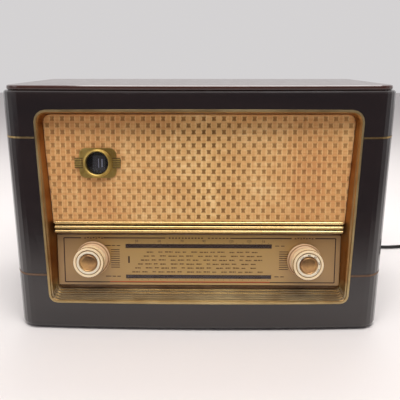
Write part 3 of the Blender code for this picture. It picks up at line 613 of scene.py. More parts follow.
def strokes(name, marks, depth, thickness=0.00012):
    """Marks are (x, up, width, height, turn) on the front's bench; the turn in degrees may be left out."""
    places = []
    for x, up, width, height, *turn in marks:
        turning = spin(turn[0] if turn else 0, "Z")
        size = Matrix.Diagonal((width, height, thickness, 1))
        places.append(at(x, up, -depth) @ turning @ size)
    return repeated(name, block("stamp", (-0.5, -0.5, 0), (0.5, 0.5, 1)), places)


def lettering(name, signs, depth, size, thickness=0.0001):
    """Signs are (text, x, up): generic numbers, made flat and then turned into a mesh."""
    copies = []
    for text, x, up in signs:
        clear_bench()
        bpy.ops.object.text_add(location=(x, up, -depth))
        sign = bpy.context.object
        sign.data.body = text
        sign.data.size = size
        sign.data.extrude = thickness / 2
        sign.data.resolution_u = 2
        sign.data.align_x = "CENTER"
        sign.data.align_y = "CENTER"
        bpy.ops.object.convert(target="MESH")
        bpy.ops.object.transform_apply()
        copies.append(bpy.context.object)
    return join_all(name, copies)


print("modelling tools ready")

# %% [markdown]
# ## Finishes that know where they are
# The cloth's weave and the glass's painted windows belong to places on the leaning front.  Their nodes start from
# object coordinates and work out x and the distance up the slope, with the same arithmetic as the bench's matrix.

# %% Places on the front, for nodes


def front_axes(finish):
    """x across and s up the slope, at any point of a piece on the leaning front."""
    x, y, z = finish.axes(finish.place())
    up = (y - (case_shift - face_setback)) * math.sin(lean) + (z - foot_height) * math.cos(lean)
    return x, up


def band(value, low, high, soft):
    """1 between two values, 0 outside them, with soft edges."""
    middle, half = (low + high) / 2, (high - low) / 2
    return ((half - (value - middle).size()) / soft + 0.5).clipped()


print("front axes ready")

# %% [markdown]
# ## The surround's own brass
# Inside the opening the surround's walls are painted red brown, a painted reflection of the cloth, and its sill is
# painted a greyer brass, a painted reflection as well; only its lip keeps the plain colour.  Three soft masks, worked
# out from places on the front, mix the three colours.

# %% Surround finish
surround_brass = Finish("surround_brass", tint(208, 186, 136), 0.36, Metallic=1.0)
_, round_up = front_axes(surround_brass)
_, round_y, round_z = surround_brass.axes(surround_brass.place())
round_depth = (round_y - (case_shift - face_setback)) * math.cos(lean) - (round_z - foot_height) * math.sin(lean)
inside = ((round_depth - 0.0035) / 0.004).clipped()
# The sill's greyer brass and the walls' red brown are painted reflections, mixed in by these two masks.
sill_reflection_mask = band(round_up, 0.030, 0.0545, 0.004) * inside
wall_reflection_mask = ((round_up - 0.060) / 0.01).clipped() * inside
age_patch = surround_brass.speckle(18.0, 5.0)
lip_colour = surround_brass.ramp(age_patch, (0.34, tint(170, 144, 98)), (0.62, tint(208, 186, 136)))
sill_reflection_colour = surround_brass.ramp(age_patch, (0.34, tint(172, 150, 116)), (0.62, tint(206, 190, 156)))
wall_reflection_colour = surround_brass.ramp(age_patch, (0.34, tint(136, 92, 50)), (0.62, tint(172, 128, 78)))
lip_and_sill_reflection = surround_brass.blend(sill_reflection_mask, lip_colour, sill_reflection_colour)
surround_brass.set("Base Color", surround_brass.blend(wall_reflection_mask, lip_and_sill_reflection, wall_reflection_colour))
surround_brass.set("Roughness", surround_brass.vary(age_patch, 0.28, 0.46))
surround_brass.relief(surround_brass.speckle(500.0, 2.0, stretch=(0.05, 1.0, 1.0)), 0.00003, 0.25)
print("surround finish ready")

# %% [markdown]
# ## The dial glass
# The pane is painted gold from behind, darker towards its ends, and left clear in two long slots.  The slots are
# painted dark brown, which is painted shade for the dark behind the glass, and the needle shows as it passes.  The
# paint is a base colour under the glass's own gloss, which is what a clear coat does, and the slots are only a lower
# alpha.

# %% Dial glass finish
dial_glass = Finish("dial_glass", tint(172, 138, 86), 0.30, Metallic=0.25, Coat_Weight=0.8, Coat_Roughness=0.05)
dial_x, dial_up = front_axes(dial_glass)
slot_half = 0.104
edge = 0.0003
upper_slot, lower_slot = band(dial_up, 0.1114, 0.1175, edge), band(dial_up, 0.0669, 0.0726, edge)
in_slots = band(dial_x, -slot_half, slot_half, edge) * (upper_slot + lower_slot)
to_ends = (dial_x.size() / 0.20).clipped()
paint = dial_glass.ramp(to_ends * 0.75 + dial_glass.speckle(22.0, 4.0) * 0.35, (0.12, tint(186, 150, 82)),
                        (0.50, tint(186, 150, 88)), (0.95, tint(170, 134, 86)))
# The dark brown in the slots is painted shade.
dial_glass.set("Base Color", dial_glass.blend(in_slots, paint, tint(62, 42, 34)))
dial_glass.set("Alpha", 1 - in_slots * 0.25)
dial_glass.set("Roughness", dial_glass.vary(dial_glass.speckle(90.0, 3.0), 0.22, 0.42))
dial_glass.relief(dial_glass.speckle(500.0, 2.0), 0.00005, 0.3)
print("dial glass ready")

# %% [markdown]
# ## The grille cloth
# The cloth is a stout woven fabric, tan with a brown thread that comes to the surface in a brick pattern, every
# 13.8 mm across and every 9 mm up.  It is stretched flat over the baffle and cut to the shape of its window.  It
# starts as a fine grid.  Its points are moved in code to the window's outline, and pressed in a little where the
# brown thread dives, so the weave is real relief.  The finer threads are too small for geometry and go in the
# bump.

# %% Grille cloth: the shape
repeat_x, repeat_up = 0.0138, 0.0090
cloth_low, cloth_high = 0.1484, 0.2984
eye_x, eye_up = -0.1385, 0.2323
eye_hole = 0.0172
cloth_depth = 0.0180


def window_half(up):
    """Half the window's width: its sides lean outwards and its top corners are round."""
    half = 0.2033 + 0.0104 * max(up - 0.150, 0) / (cloth_high - 0.150)
    corner = 0.012
    past = up - (cloth_high - corner)
    if past > 0:
        half -= corner - math.sqrt(max(corner ** 2 - past ** 2, 0))
    return half


clear_bench()
bpy.ops.mesh.primitive_grid_add(x_subdivisions=240, y_subdivisions=112, size=1)
cloth = bpy.context.object
cloth.name = "grille_cloth_woven"
for point in cloth.data.vertices:
    across, up = point.co.x + 0.5, cloth_low + (point.co.y + 0.5) * (cloth_high - cloth_low)
    x = (2 * across - 1) * window_half(up)
    row = math.floor(up / repeat_up)
    cell_x = (x / repeat_x + 0.5 * (row % 2)) % 1.0 - 0.5
    cell_up = (up / repeat_up) % 1.0 - 0.5
    dive = eased(1.6 - abs(cell_x) / 0.16) * eased(1.6 - abs(cell_up) / 0.24)
    swell = 0.5 + 0.5 * math.cos(2 * math.pi * cell_x)
    point.co = (x, up, -cloth_depth - 0.00050 * dive + 0.00012 * (1 - swell))
print("cloth points:", len(cloth.data.vertices))

# %% Grille cloth: its map, its hole for the eye, and its thickness
metres = cloth.data.uv_layers.active or cloth.data.uv_layers.new(name="metres")
for corner in cloth.data.loops:
    place = cloth.data.vertices[corner.vertex_index].co
    metres.data[corner.index].uv = (place.x, place.y)
pick(cloth, "FACE", lambda face: (face.center.xy - Vector((eye_x, eye_up))).length < eye_hole)
bpy.ops.mesh.delete(type="FACE")
bpy.ops.object.mode_set(mode="OBJECT")
strips = 200
strip_height = (cloth_high - cloth_low) / strips
cloth_area = sum(2 * window_half(cloth_low + (i + 0.5) * strip_height) * strip_height for i in range(strips))
cloth_area -= math.pi * eye_hole ** 2
thicken = cloth.modifiers.new("thickness", "SOLIDIFY")
thicken.thickness = 0.0005
thicken.offset = -1
bpy.ops.object.modifier_apply(modifier=thicken.name)
print("cloth area:", round(cloth_area, 5), "square metres")

# %% Grille cloth: the weave
weave = Finish("grille_fabric", tint(214, 166, 108), 0.82, Sheen_Weight=0.25, Sheen_Roughness=0.5)
thread_map = weave.node("UVMap", {}, 0)
map_x, map_up, _ = weave.axes(thread_map)
wobble = weave.speckle(190.0, 2.0, thread_map) - 0.5
rows_up = map_up / repeat_up
odd = rows_up.floor().remainder(2.0)
cell_across = (map_x / repeat_x + odd * 0.5).fraction() - 0.5 + wobble * 0.10
cell_upward = rows_up.fraction() - 0.5 + wobble * 0.16
pinch = 0.15 + cell_upward.size() * 0.24
brown = ((pinch - cell_across.size()) / 0.07 + 0.5).clipped() * band(cell_upward, -0.33, 0.33, 0.16)
pale_pair = band((cell_across.size() - 0.25).size(), -1.0, 0.045, 0.05) * band(cell_upward, -0.40, 0.40, 0.12)
to_middle = 1 - ((map_x - 0.010).size() / 0.135).clipped()
warp_pitch, weft_pitch = 0.00115, 0.00150
warp = (map_x * (2 * math.pi / warp_pitch)).wave()
weft = (map_up * (2 * math.pi / weft_pitch) + wobble * 2.0).wave()
slub = weave.speckle(330.0, 2.0, thread_map, (1.0, 0.04, 1.0))
slub_across = weave.speckle(330.0, 2.0, thread_map, (0.05, 1.0, 1.0))
age = weave.speckle(16.0, 5.0, thread_map)
mottle = slub * 0.30 + slub_across * 0.30 + age * 0.40
orange = weave.ramp(mottle, (0.38, tint(208, 144, 84)), (0.50, tint(220, 162, 98)), (0.64, tint(236, 190, 128)))
yellow = weave.ramp(mottle, (0.38, tint(216, 162, 96)), (0.50, tint(232, 184, 116)), (0.64, tint(252, 218, 158)))
tan = weave.blend(to_middle, orange, yellow)
tan = weave.blend(pale_pair * 0.45, tan, tint(246, 212, 150))
spot = weave.ramp(slub * 0.5 + age * 0.5, (0.35, tint(112, 74, 26)), (0.65, tint(150, 104, 44)))
weave.set("Base Color", weave.blend(brown * (0.62 + to_middle * 0.34), tan, spot))
weave.relief(warp * 0.25 + weft * 0.25 + slub * 0.5 + slub_across * 0.5 - brown * 0.6, 0.0004, 0.55)
settle(cloth, FRONT, weave, "case", smooth=0)
cloth.data.shade_smooth()
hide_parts("grille_cloth")
print("nodes in the weave:", len(weave.tree.nodes))

# %% [markdown]
# ## The knobs
# Each end of the dial has a cream knob in front of a wider ring.  The knob's skirt is fluted for grip, its face
# has a bright raised rim, a fine groove and a white inner band, and a low domed brass cap closes its centre.  The
# knob is turned from a circle of 112 sides.  Every second row of points on the skirt is then drawn in towards the
# axis, which turns a plain skirt into 56 flutes, and that is all a moulded flute is.

# %% Helper: flutes


def flute(piece, sides, low, high, depth):
    """Draws in every second point of the rings between two heights."""
    def in_a_flute(point):
        step = round(math.atan2(point.co.y, point.co.x) / (2 * math.pi / sides))
        return low < point.co.z < high and step % 2 == 1

    pick(piece, "VERT", in_a_flute)
    bpy.ops.transform.resize(value=(1 - depth, 1 - depth, 1), center_override=(0, 0, 0))
    bpy.ops.object.mode_set(mode="OBJECT")
    return piece


print("flutes can be cut")

# %% Knobs, inner bands, caps and rings
knob_sides = 112
knob_rings = [(0.0036, -0.0125), (0.0193, -0.0125), (0.0203, -0.0098), (0.0212, -0.0060), (0.0218, -0.0020),
              (0.0215, 0.0020), (0.0210, 0.0058), (0.0206, 0.0070), (0.0200, 0.0078), (0.0192, 0.0081),
              (0.0178, 0.0080), (0.0174, 0.0076), (0.0172, 0.0058), (0.0162, 0.0058), (0.0160, 0.0076),
              (0.0156, 0.0078), (0.0128, 0.0078), (0.0126, 0.0074), (0.0126, 0.0040), (0.0036, 0.0040),
              (0.0036, -0.0125)]
band_rings = [(0.0131, 0.0078), (0.0155, 0.0078), (0.0155, 0.0081), (0.0152, 0.0083), (0.0134, 0.0083),
              (0.0131, 0.0081), (0.0131, 0.0078)]
cap_rings = [(0, 0.0044), (0.0119, 0.0044), (0.0119, 0.0069), (0.0116, 0.0074), (0.0111, 0.0075), (0.0106, 0.0071),
             (0.0101, 0.0071), (0.0096, 0.0075), (0.0075, 0.0079), (0.0050, 0.0082), (0.0025, 0.0084), (0, 0.0085)]
rear_rings = [(0.0053, -0.0230), (0.0205, -0.0230), (0.0232, -0.0215), (0.0239, -0.0198), (0.0240, -0.0178),
              (0.0236, -0.0164), (0.0222, -0.0150), (0.0204, -0.0137), (0.0198, -0.0135), (0.0053, -0.0135),
              (0.0053, -0.0230)]
edge_rings = [(0.0204, 0.0052), (0.0214, 0.0052), (0.0213, 0.0060), (0.0204, 0.0060), (0.0204, 0.0052)]
# Thin brown rings in the knob's groove, at its rim's edge and on the ring's shoulder are painted shade in these
# creases.
crease_shade_rings = [(0.0163, 0.0055), (0.0171, 0.0055), (0.0171, 0.0067), (0.0167, 0.0069), (0.0163, 0.0067),
               (0.0163, 0.0055)]
shoulder_rings = [(0.0216, -0.0150), (0.0230, -0.0158), (0.0232, -0.0153), (0.0218, -0.0144), (0.0216, -0.0150)]
groove_crease_shade = plain("groove_crease_shade", tint(166, 128, 84), tint(134, 98, 62), 0.7, 260.0, 0.00005)
knob_model = flute(turned("knob", knob_rings, knob_sides), knob_sides, -0.0110, 0.0074, 0.055)
band_model = turned("band", band_rings, 72)
crease_shade_model = join_all("crease_shade", [turned("groove", crease_shade_rings, 72), turned("edge", edge_rings, 72)])
cap_model = turned("cap", cap_rings, 64)
ring_model = turned("ring", rear_rings, 96)
shoulder_model = turned("shoulder", shoulder_rings, 72)
print("points in the knob's mesh:", len(knob_model.data.vertices))

# %% A copy of each for both ends of the dial
knob_places = {"volume": (-0.1492, 0.0980, "tone"), "band": (0.1492, 0.0956, "tuning")}
for name, (x, up, rear) in knob_places.items():
    bench = FRONT @ at(x, up, 0)
    knob = settle_copy(knob_model, f"{name}_knob_fluted", bench, ivory, name, 50)
    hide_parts(f"{name}_knob")
    settle_copy(band_model, f"{name}_knob_band", bench, white_paint, name)
    # Painted shade in the knob's groove and at its rim's edge.
    settle_copy(crease_shade_model, f"{name}_knob_crease_shade", bench, groove_crease_shade, name)
    cap = settle_copy(cap_model, f"{name}_cap_domed", bench, cap_brass, name)
    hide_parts(f"{name}_knob_cap")
    ring = settle_copy(ring_model, f"{rear}_ring_smooth", bench, shaded_ring_ivory, rear)
    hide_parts(f"{rear}_ring")
    settle_copy(shoulder_model, f"{rear}_ring_crease_shade", bench, groove_crease_shade, rear)
put_away(knob_model, band_model, crease_shade_model, cap_model, ring_model, shoulder_model)
print("knobs turned:", list(knob_places))

# %% [markdown]
# ### Marks round the right knob
# Small printed marks run round the band of the right knob, from about eleven o'clock to four o'clock, so that the
# listener can see which waveband is chosen.  They are plain strokes, with one small group for each place.

# %% Marks on the band knob
mark_radius, mark_length, mark_step = 0.0143, 0.0018, 7.5
band_x, band_up = knob_places["band"][:2]
mark_groups = ((10.6, 0.0006, 3), (12.0, 0.0011, 2), (1.2, 0.0011, 2), (2.6, 0.0009, 2), (4.0, 0.0006, 3))
marks = []
for o_clock, width, count in mark_groups:
    for i in range(count):
        angle = math.radians(90 - o_clock * 30 - (i - (count - 1) / 2) * mark_step)
        marks.append((band_x + mark_radius * math.cos(angle), band_up + mark_radius * math.sin(angle),
                      mark_length, width, math.degrees(angle)))
band_top = 0.0083
settle(strokes("band_knob_marks", marks, -band_top), FRONT, dark_print_and_shade, "band", 0)
print("marks:", len(marks))

# %% [markdown]
# ## Print on the dial glass
# The paint on the glass carries a dark border, tick marks and numbers over the upper slot, six rows of short
# dashes in place of names of stations, ribs beside the knobs and one orange line.  All of it is flat paint, so it
# is made of strokes.  The dashes take their lengths in turn from a short list, so that they come out the same each
# time.

# %% Helper: paint on the glass
print_depth = 0.0240


def paint_on_glass(piece, ink):
    settle(piece, FRONT, ink, "case", 0)


print("paint lies", print_depth, "m behind the front")

# %% Border, ribs and slot ends
border_low, border_high, border_left, border_right = 0.0617, 0.1261, -0.1915, 0.1940
line = 0.0014
rib_low, rib_pitch = 0.0835, 0.0032
middle_x, middle_up = (border_left + border_right) / 2, (border_low + border_high) / 2
dark_marks = [(middle_x, border_low, border_right - border_left, line),
              (border_left, middle_up, line, border_high - border_low),
              (border_right, middle_up, line, border_high - border_low)]
for start, end in ((border_left, -0.167), (-0.135, -0.0473), (0.0447, 0.1318), (0.165, border_right)):
    dark_marks.append(((start + end) / 2, border_high, end - start, line))
for i in range(9):
    rib_up = rib_low + i * rib_pitch
    dark_marks.append((-0.1188, rib_up, 0.0125, 0.0010))
    dark_marks.append((0.1212, rib_up - 0.0024, 0.0130, 0.0010))
for end_up in (0.1151, 0.0702):
    for start, width in ((-0.1330, 0.0080), (-0.1235, 0.0050), (-0.1165, 0.0050), (0.1085, 0.0060),
                         (0.1170, 0.0050)):
        dark_marks.append((start + width / 2, end_up, width, 0.0011))
dark_marks.append((-0.0994, 0.0947, 0.0022, 0.0100))
for i in range(11):
    dark_marks.append((-0.0410 + i * 0.0046, border_high, 0.0026, 0.0017))
for i in range(6):
    dark_marks.append((0.0148 + i * 0.0052, border_high, 0.0032, 0.0013))
for knob_x, *_ in knob_places.values():
    for i in range(7):
        stagger = 0.0003 if i % 2 else -0.0003
        dark_marks.append((knob_x - 0.0120 + i * 0.0040, border_high + stagger, 0.0024, 0.0014))
paint_on_glass(strokes("dial_print_border", dark_marks, print_depth), dark_print_and_shade)
print("border strokes:", len(dark_marks))

# %% Ticks and numbers above the upper slot, and dots below the lower one
numbers = [("55", -0.0880), ("60", -0.0560), ("70", -0.0235), ("90", 0.0077), ("120", 0.0460), ("150", 0.0715),
           ("16", 0.0920)]
number_up, number_size = 0.1215, 0.0048
signs = [(text, x, number_up) for text, x in numbers]
paint_on_glass(lettering("dial_print_numbers", signs, print_depth, number_size), dark_print_and_shade)
ticks = [(-0.0990 + i * 0.0090, up, 0.0005, height) for up, height in ((0.1186, 0.0014), (0.0652, 0.0012))
         for i in range(23)]
paint_on_glass(strokes("dial_print_ticks", ticks, print_depth), dark_print_and_shade)
print("ticks:", len(ticks))

# %% Six rows of dashes, and the orange line
dash_lengths = (9.5, 6.0, 11.0, 7.5, 5.0, 8.5, 12.0, 6.5, 10.0, 7.0, 9.0, 5.5, 8.0)
rows_end, dash_end = 0.0900, 0.0935
word_gap, wide_gap = 0.0034, 0.0072
dashes = []
for row in range(6):
    x, up, count = -0.0740 - 0.0042 * row, 0.1058 - 0.0058 * row, row * 3
    while x < rows_end:
        length = dash_lengths[count % len(dash_lengths)] / 1000
        if x + length > dash_end:
            break
        for share, part in ((0.0, 0.42), (0.50, 0.30), (0.86, 0.14)):
            dashes.append((x + length * (share + part / 2), up + 0.00016 * (count % 3 - 1), length * part, 0.0017))
        x += length + (word_gap if count % 4 else wide_gap)
        count += 1
faint_print = plain("faint_print", tint(112, 80, 38), tint(96, 66, 32), 0.5, 300.0, 0.00002)
paint_on_glass(strokes("dial_print_rows", dashes, print_depth), faint_print)
paint_on_glass(strokes("dial_print_orange", [(-0.0125, 0.0622, 0.229, 0.0013)], print_depth, 0.00016), red_print)
print("dashes:", len(dashes))

# %% [markdown]
# ## Closing strips round the glass
# A thin strip of brass, with patches of tarnish and painted darker overall as painted shade, fills the step between
# the glass and the surround.  Below and above the glass it is a ledge in shadow, and at the sides it is a narrow
# folded edge.

# %% Closing strips
# This brass is darker than the surround's: the darker tone is painted shade in the step round the glass.
shaded_old_brass = brass("shaded_old_brass", tint(128, 104, 82), tint(98, 76, 58), 0.42, 30.0)
strips = [block("ledge", (-0.2005, 0.0521, -0.0256), (0.2005, 0.0575, -0.0247), 0.0003),
          block("fold", (-0.2016, 0.0579, -0.0262), (-0.20085, 0.1300, -0.0243), 0.0002),
          block("fold", (0.20085, 0.0579, -0.0262), (0.2016, 0.1300, -0.0243), 0.0002),
          block("header", (-0.2005, 0.1307, -0.0256), (0.2005, 0.1340, -0.0246), 0.0003)]
settle(join_all("dial_closing_strips", strips), FRONT, shaded_old_brass, "case")
print("closing strips:", len(strips))

# %% [markdown]
# ## The sill's beads
# The sill under the dial is a stair of narrow treads.  On each nosing lies a rolled bead, which catches the light
# as a bright line, and behind it a thin dark strip on the tread is painted shade.  A bead is a thin bevelled bar, and
# each has its own length, because the surround's corners are round.

# %% Beads on the treads
treads = [(0.0512, 0.0210), (0.0482, 0.0170), (0.0452, 0.0130), (0.0422, 0.0090)]
beads, shadows = [], []
for i, (up, depth) in enumerate(treads):
    reach = 0.1985 - 0.0008 * abs(i - 1)
    nose = -depth
    beads.append(block("bead", (-reach, up - 0.0003, nose - 0.0004), (reach, up + 0.0006, nose + 0.0007), 0.0003))
    shadows.append(block("shadow", (-reach, up + 0.0004, nose - 0.0022), (reach, up + 0.0008, nose - 0.0010),
                         0.0001))
settle(join_all("sill_beads", beads), FRONT, bright_brass, "case")
# The dark strips behind the beads are painted shade on the treads.
settle(join_all("sill_tread_shadows", shadows), FRONT, dark_print_and_shade, "case")
print("sill beads:", len(beads))

# %% [markdown]
# ## The tuning eye
# The eye is a glass valve that stands behind a round window.  Its brass plate has ribbed ears at both sides, with
# painted shade between the ribs, and a rounded bead round the opening, and a low convex lens keeps dust out.  Behind
# the lens lies a dark plate with two thin pale bars, which are painted reflections on the valve's glass.

# %% Ribs of the eye's ears, and painted shade in their grooves
ear_pitch = 0.0026
ear_rib = block("ear_rib", (-0.00485, -0.00065, -0.0156), (0.00485, 0.00065, -0.0138), 0.0004)
corner_rib = block("corner_rib", (-0.0004, -0.0030, -0.0162), (0.0004, 0.0030, -0.0149), 0.0003)
ears, corners, groove_shades = [], [], []
for side in (-1, 1):
    for i in range(5):
        ears.append(at(eye_x + side * 0.02635, eye_up + (i - 2) * ear_pitch, 0))
    for i in range(3):
        for sign in (-1, 1):
            corners.append(at(eye_x + side * (0.0205 + i * 0.0017), eye_up + sign * 0.0135, 0))
    for i in range(6):
        groove_shades.append((eye_x + side * 0.0260, eye_up + (i - 2.5) * ear_pitch, 0.0112, 0.0011))
eye_brass = brass("eye_brass", tint(204, 178, 104), tint(172, 142, 74), 0.38)
ribs = join_all("eye_ribs", [repeated("ears", ear_rib, ears), repeated("corners", corner_rib, corners)])
settle(ribs, FRONT, eye_brass, "case")
# The dark strokes between the ribs are painted shade in the grooves.
settle(strokes("eye_groove_shades", groove_shades, 0.01505), FRONT, dark_print_and_shade, "case", 0)
print("eye ribs:", len(ears) + len(corners))

# %% Bead and lens of the eye
eye_bench = FRONT @ at(eye_x, eye_up, 0)
bead_rings = [(0.0156, -0.0118), (0.0157, -0.0108), (0.0163, -0.0101), (0.0170, -0.0099), (0.0177, -0.0102),
              (0.0180, -0.0109), (0.0184, -0.0111), (0.0189, -0.0108), (0.0193, -0.0112), (0.0193, -0.0118),
              (0.0156, -0.0118)]
settle(turned("eye_bead", bead_rings, 72), eye_bench, eye_brass, "case")
lens_rings = [(0, -0.0150), (0.0100, -0.0151), (0.0152, -0.0153), (0.0153, -0.0150), (0.0150, -0.0146),
              (0.0110, -0.0136), (0.0060, -0.0129), (0, -0.0127)]
lens_glass = plain("lens_glass", tint(236, 240, 240), tint(228, 234, 236), 0.03, 30.0, 0.00001,
                   Transmission_Weight=1.0, IOR=1.40)
settle(turned("eye_lens", lens_rings, 64), eye_bench, lens_glass, "case")
print("bead and lens:", len(bead_rings), len(lens_rings), "rings")

# %% The eye's dark plate, and its painted reflections
reflection_grey = plain("reflection_grey", tint(206, 202, 222), tint(168, 168, 188), 0.4, 90.0, 0.00003)
target_dark = plain("target_dark", tint(96, 88, 90), tint(66, 62, 70), 0.5, 120.0, 0.00003)
# The two thin pale bars are painted reflections on the valve's glass.
reflection_bars = [(0.0012, 0, 0.0010, 0.0120), (0.0058, 0, 0.0018, 0.0110)]
target_plate = [(0.0016, 0, 0.0170, 0.0200)]
for name, shapes, depth, look in (("eye_painted_reflections", reflection_bars, 0.0168, reflection_grey),
                                  ("eye_dark_plate", target_plate, 0.0174, target_dark)):
    settle(strokes(name, shapes, depth, 0.0003), eye_bench, look, "case", 0)
print("target bars:", len(reflection_bars))

# %% [markdown]
# ## The gland's rubber boot
# Where the lead leaves the back it runs through a soft boot, which stops it from bending sharply.  The boot is a
# tapered sleeve with grooves cut almost through, so that it bends evenly.  It is turned about the lead's first
# straight stretch, and takes the plain gland's place.

# %% Ribbed boot
boot_rings = [(0.0034, -0.0080), (0.0056, -0.0080), (0.0056, -0.0006), (0.0085, -0.0004), (0.0088, 0.0004),
              (0.0088, 0.0022), (0.0084, 0.0030), (0.0066, 0.0034)]
for i in range(5):
    start, width = 0.0040 + i * 0.0026, 0.0064 - i * 0.00036
    boot_rings += [(width, start), (width - 0.0001, start + 0.0014), (width - 0.0011, start + 0.0016),
                   (width - 0.0012, start + 0.0023)]
boot_rings += [(0.0042, 0.0172), (0.0034, 0.0172), (0.0034, -0.0080)]
boot_x, boot_up, back_plane = 0.1700, 0.0370, 0.275 + case_shift
to_the_back = spin(-90, "X")
boot_bench = at(boot_x, back_plane, boot_up) @ to_the_back
boot = settle(turned("cord_gland_ribbed", boot_rings, 40), boot_bench, cord_rubber, "case")
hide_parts("cord_gland")
print("boot length:", boot_rings[-2][1] + 0.008)

# %% [markdown]
# ## The back's screws and ferrules
# Eight slotted screws with cup washers hold the pressed board.  A slotted head is a low turned dome with a groove,
# and here the groove is real: the points beside one line are pressed down.  The head is modelled once, and each
# copy is turned a little further than the last.  The sockets for the aerial and a second loudspeaker have brass
# ferrules.

# %% Screws of the back
screw_rings = [(0, -0.0006), (0.0030, -0.0006), (0.0044, -0.0002), (0.0046, 0.0006), (0.0042, 0.0012),
               (0.0036, 0.0009), (0.0034, 0.0011), (0.0028, 0.0019), (0.0018, 0.0024), (0.0009, 0.0026), (0, 0.0026)]
screw = turned("screw", screw_rings, 32)
pick(screw, "VERT", lambda point: point.co.z > 0.0010 and abs(point.co.y) < 0.00055)
bpy.ops.transform.translate(value=(0, 0, -0.0008))
bpy.ops.object.mode_set(mode="OBJECT")
screw_turn = 37
screws = []
for x, up in ((-0.238, 0.030), (0.238, 0.030), (-0.244, 0.165), (0.244, 0.165), (-0.248, 0.298), (0.248, 0.298),
              (0.0, 0.306), (0.0, 0.020)):
    turn = spin(screw_turn * len(screws), "Z")
    screws.append(at(x, back_plane, up) @ to_the_back @ turn)
settle(repeated("back_screws", screw, screws), IN_PLACE, plated_steel, "case")
print("screws:", len(screws))

# %% Ferrules of the sockets
ferrule_rings = [(0.0014, -0.0020), (0.0023, -0.0020), (0.0023, 0.0000), (0.0034, 0.0001), (0.0036, 0.0006),
                 (0.0032, 0.0010), (0.0018, 0.0010), (0.0014, 0.0006), (0.0014, -0.0020)]
strip_face = 0.2796 + case_shift
socket_pitch, socket_up = 0.016, 0.032 + foot_height
ferrules = [at(-0.062 + socket_pitch * i, strip_face, socket_up) @ to_the_back for i in range(4)]
settle(repeated("socket_ferrules", turned("ferrule", ferrule_rings, 28), ferrules), IN_PLACE, bright_brass, "case")
print("ferrules:", len(ferrules))

# %% [markdown]
# ## Works behind the grille
# Eight rivets hold the loudspeaker's rim, its cone has moulded rings, and its centre is a dust cap.  Valves stand
# in moulded holders and show their electrodes through the glass.  The transformers have paper-covered windings,
# tag boards and bolts.

# %% Helpers: a bench on top of the chassis, places round a circle, and wires
chassis_top = 0.056


def on_chassis(x, y, up=0.0):
    return CASE @ at(x, y, chassis_top + up)


def round_a_circle(radius, count, first):
    """Places round a circle, from a first angle in degrees."""
    angles = [math.radians(first + 360 / count * i) for i in range(count)]
    return [at(radius * math.cos(angle), radius * math.sin(angle), 0) for angle in angles]


def tube(name, points, radius, sides=10):
    """A wire or pipe along points: a curve with a round section, turned into a mesh."""
    clear_bench()
    line = bpy.data.curves.new(name, "CURVE")
    line.dimensions = "3D"
    line.bevel_depth = radius
    line.bevel_resolution = max(1, sides // 4 - 1)
    line.resolution_u = 6
    line.use_fill_caps = True
    spline = line.splines.new("BEZIER")
    spline.bezier_points.add(len(points) - 1)
    for knot, point in zip(spline.bezier_points, points):
        knot.co = point
        knot.handle_left_type = knot.handle_right_type = "AUTO"
    piece = bpy.data.objects.new(name, line)
    bpy.context.scene.collection.objects.link(piece)
    piece.select_set(True)
    bpy.context.view_layer.objects.active = piece
    bpy.ops.object.convert(target="MESH")
    return bpy.context.object


print("chassis top:", chassis_top)

# %% Valves: holders and electrodes
holder_rings = [(0.0040, -0.0015), (0.0150, -0.0015), (0.0150, 0.0006), (0.0146, 0.0012), (0.0130, 0.0014),
                (0.0128, 0.0048), (0.0125, 0.0052), (0.0125, 0.0004), (0.0040, 0.0004), (0.0040, -0.0015)]
anode_rings = [(0.0048, 0.0140), (0.0052, 0.0140), (0.0052, 0.0380), (0.0048, 0.0380), (0.0048, 0.0140)]
mica_rings = [(0.0010, 0.0), (0.0092, 0.0), (0.0092, 0.0006), (0.0010, 0.0006), (0.0010, 0.0)]
valves = {"mixer": (0.110, 0.150), "if_amplifier": (0.110, 0.205), "detector": (0.020, 0.205),
          "output": (-0.060, 0.205)}
holder_model = turned("holder", holder_rings, 40)
micas = repeated("micas", turned("mica", mica_rings, 28), [at(0, 0, up) for up in (0.0132, 0.0384)])
rod = tube("rod", [(0, 0, up) for up in (0.0095, 0.0240, 0.0410)], 0.0004)
supports = repeated("supports", rod, round_a_circle(0.0068, 4, 45))
electrode_model = join_all("electrodes", [turned("anode", anode_rings, 28), micas, supports])
for name, (x, y) in valves.items():
    settle_copy(holder_model, f"valve_holder_{name}", on_chassis(x, y, 0.0018), bakelite, "case")
    settle_copy(electrode_model, f"valve_electrodes_{name}", on_chassis(x, y), bare_steel, "case")
put_away(holder_model, electrode_model)
print("valves:", list(valves))

# %% Loudspeaker: cone rings, dust cap and rivets
speaker_x, speaker_up = 0.025, 0.229
cloth_gap, baffle_thickness, rim_gap = 0.0008, 0.005, 0.0006
speaker_near = cloth_depth + cloth_gap + baffle_thickness + rim_gap
horn = FRONT @ at(speaker_x, speaker_up, -speaker_near) @ spin(180, "X")
cone_rings = [(0.0, 0.0262), (0.0070, 0.0266), (0.0115, 0.0281)]
for i in range(6):
    radius = 0.0160 + i * 0.0066
    height = 0.0268 - i * 0.0040
    cone_rings += [(radius, height), (radius + 0.0018, height - 0.0020), (radius + 0.0036, height - 0.0016)]
cone_rings += [(0.0552, 0.0026), (0.0552, 0.0032)]
cone_rings += [(radius, height + 0.0009) for radius, height in reversed(cone_rings[3:-2])]
cone_rings += [(0.0118, 0.0290), (0.0112, 0.0322), (0.0, 0.0322)]
cone = settle(turned("speaker_cone_moulded", cone_rings, 64), horn, cone_paper, "case")
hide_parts("speaker_cone")
print("loudspeaker centre:", speaker_x, speaker_up)
rivet_rings = [(0, 0.0030), (0.0024, 0.0030), (0.0026, 0.0036), (0.0020, 0.0044), (0.0010, 0.0048), (0, 0.0049)]
rivets = repeated("speaker_rivets", turned("rivet", rivet_rings, 20), round_a_circle(0.0622, 8, 22.5))
settle(rivets, horn, plated_steel, "case")

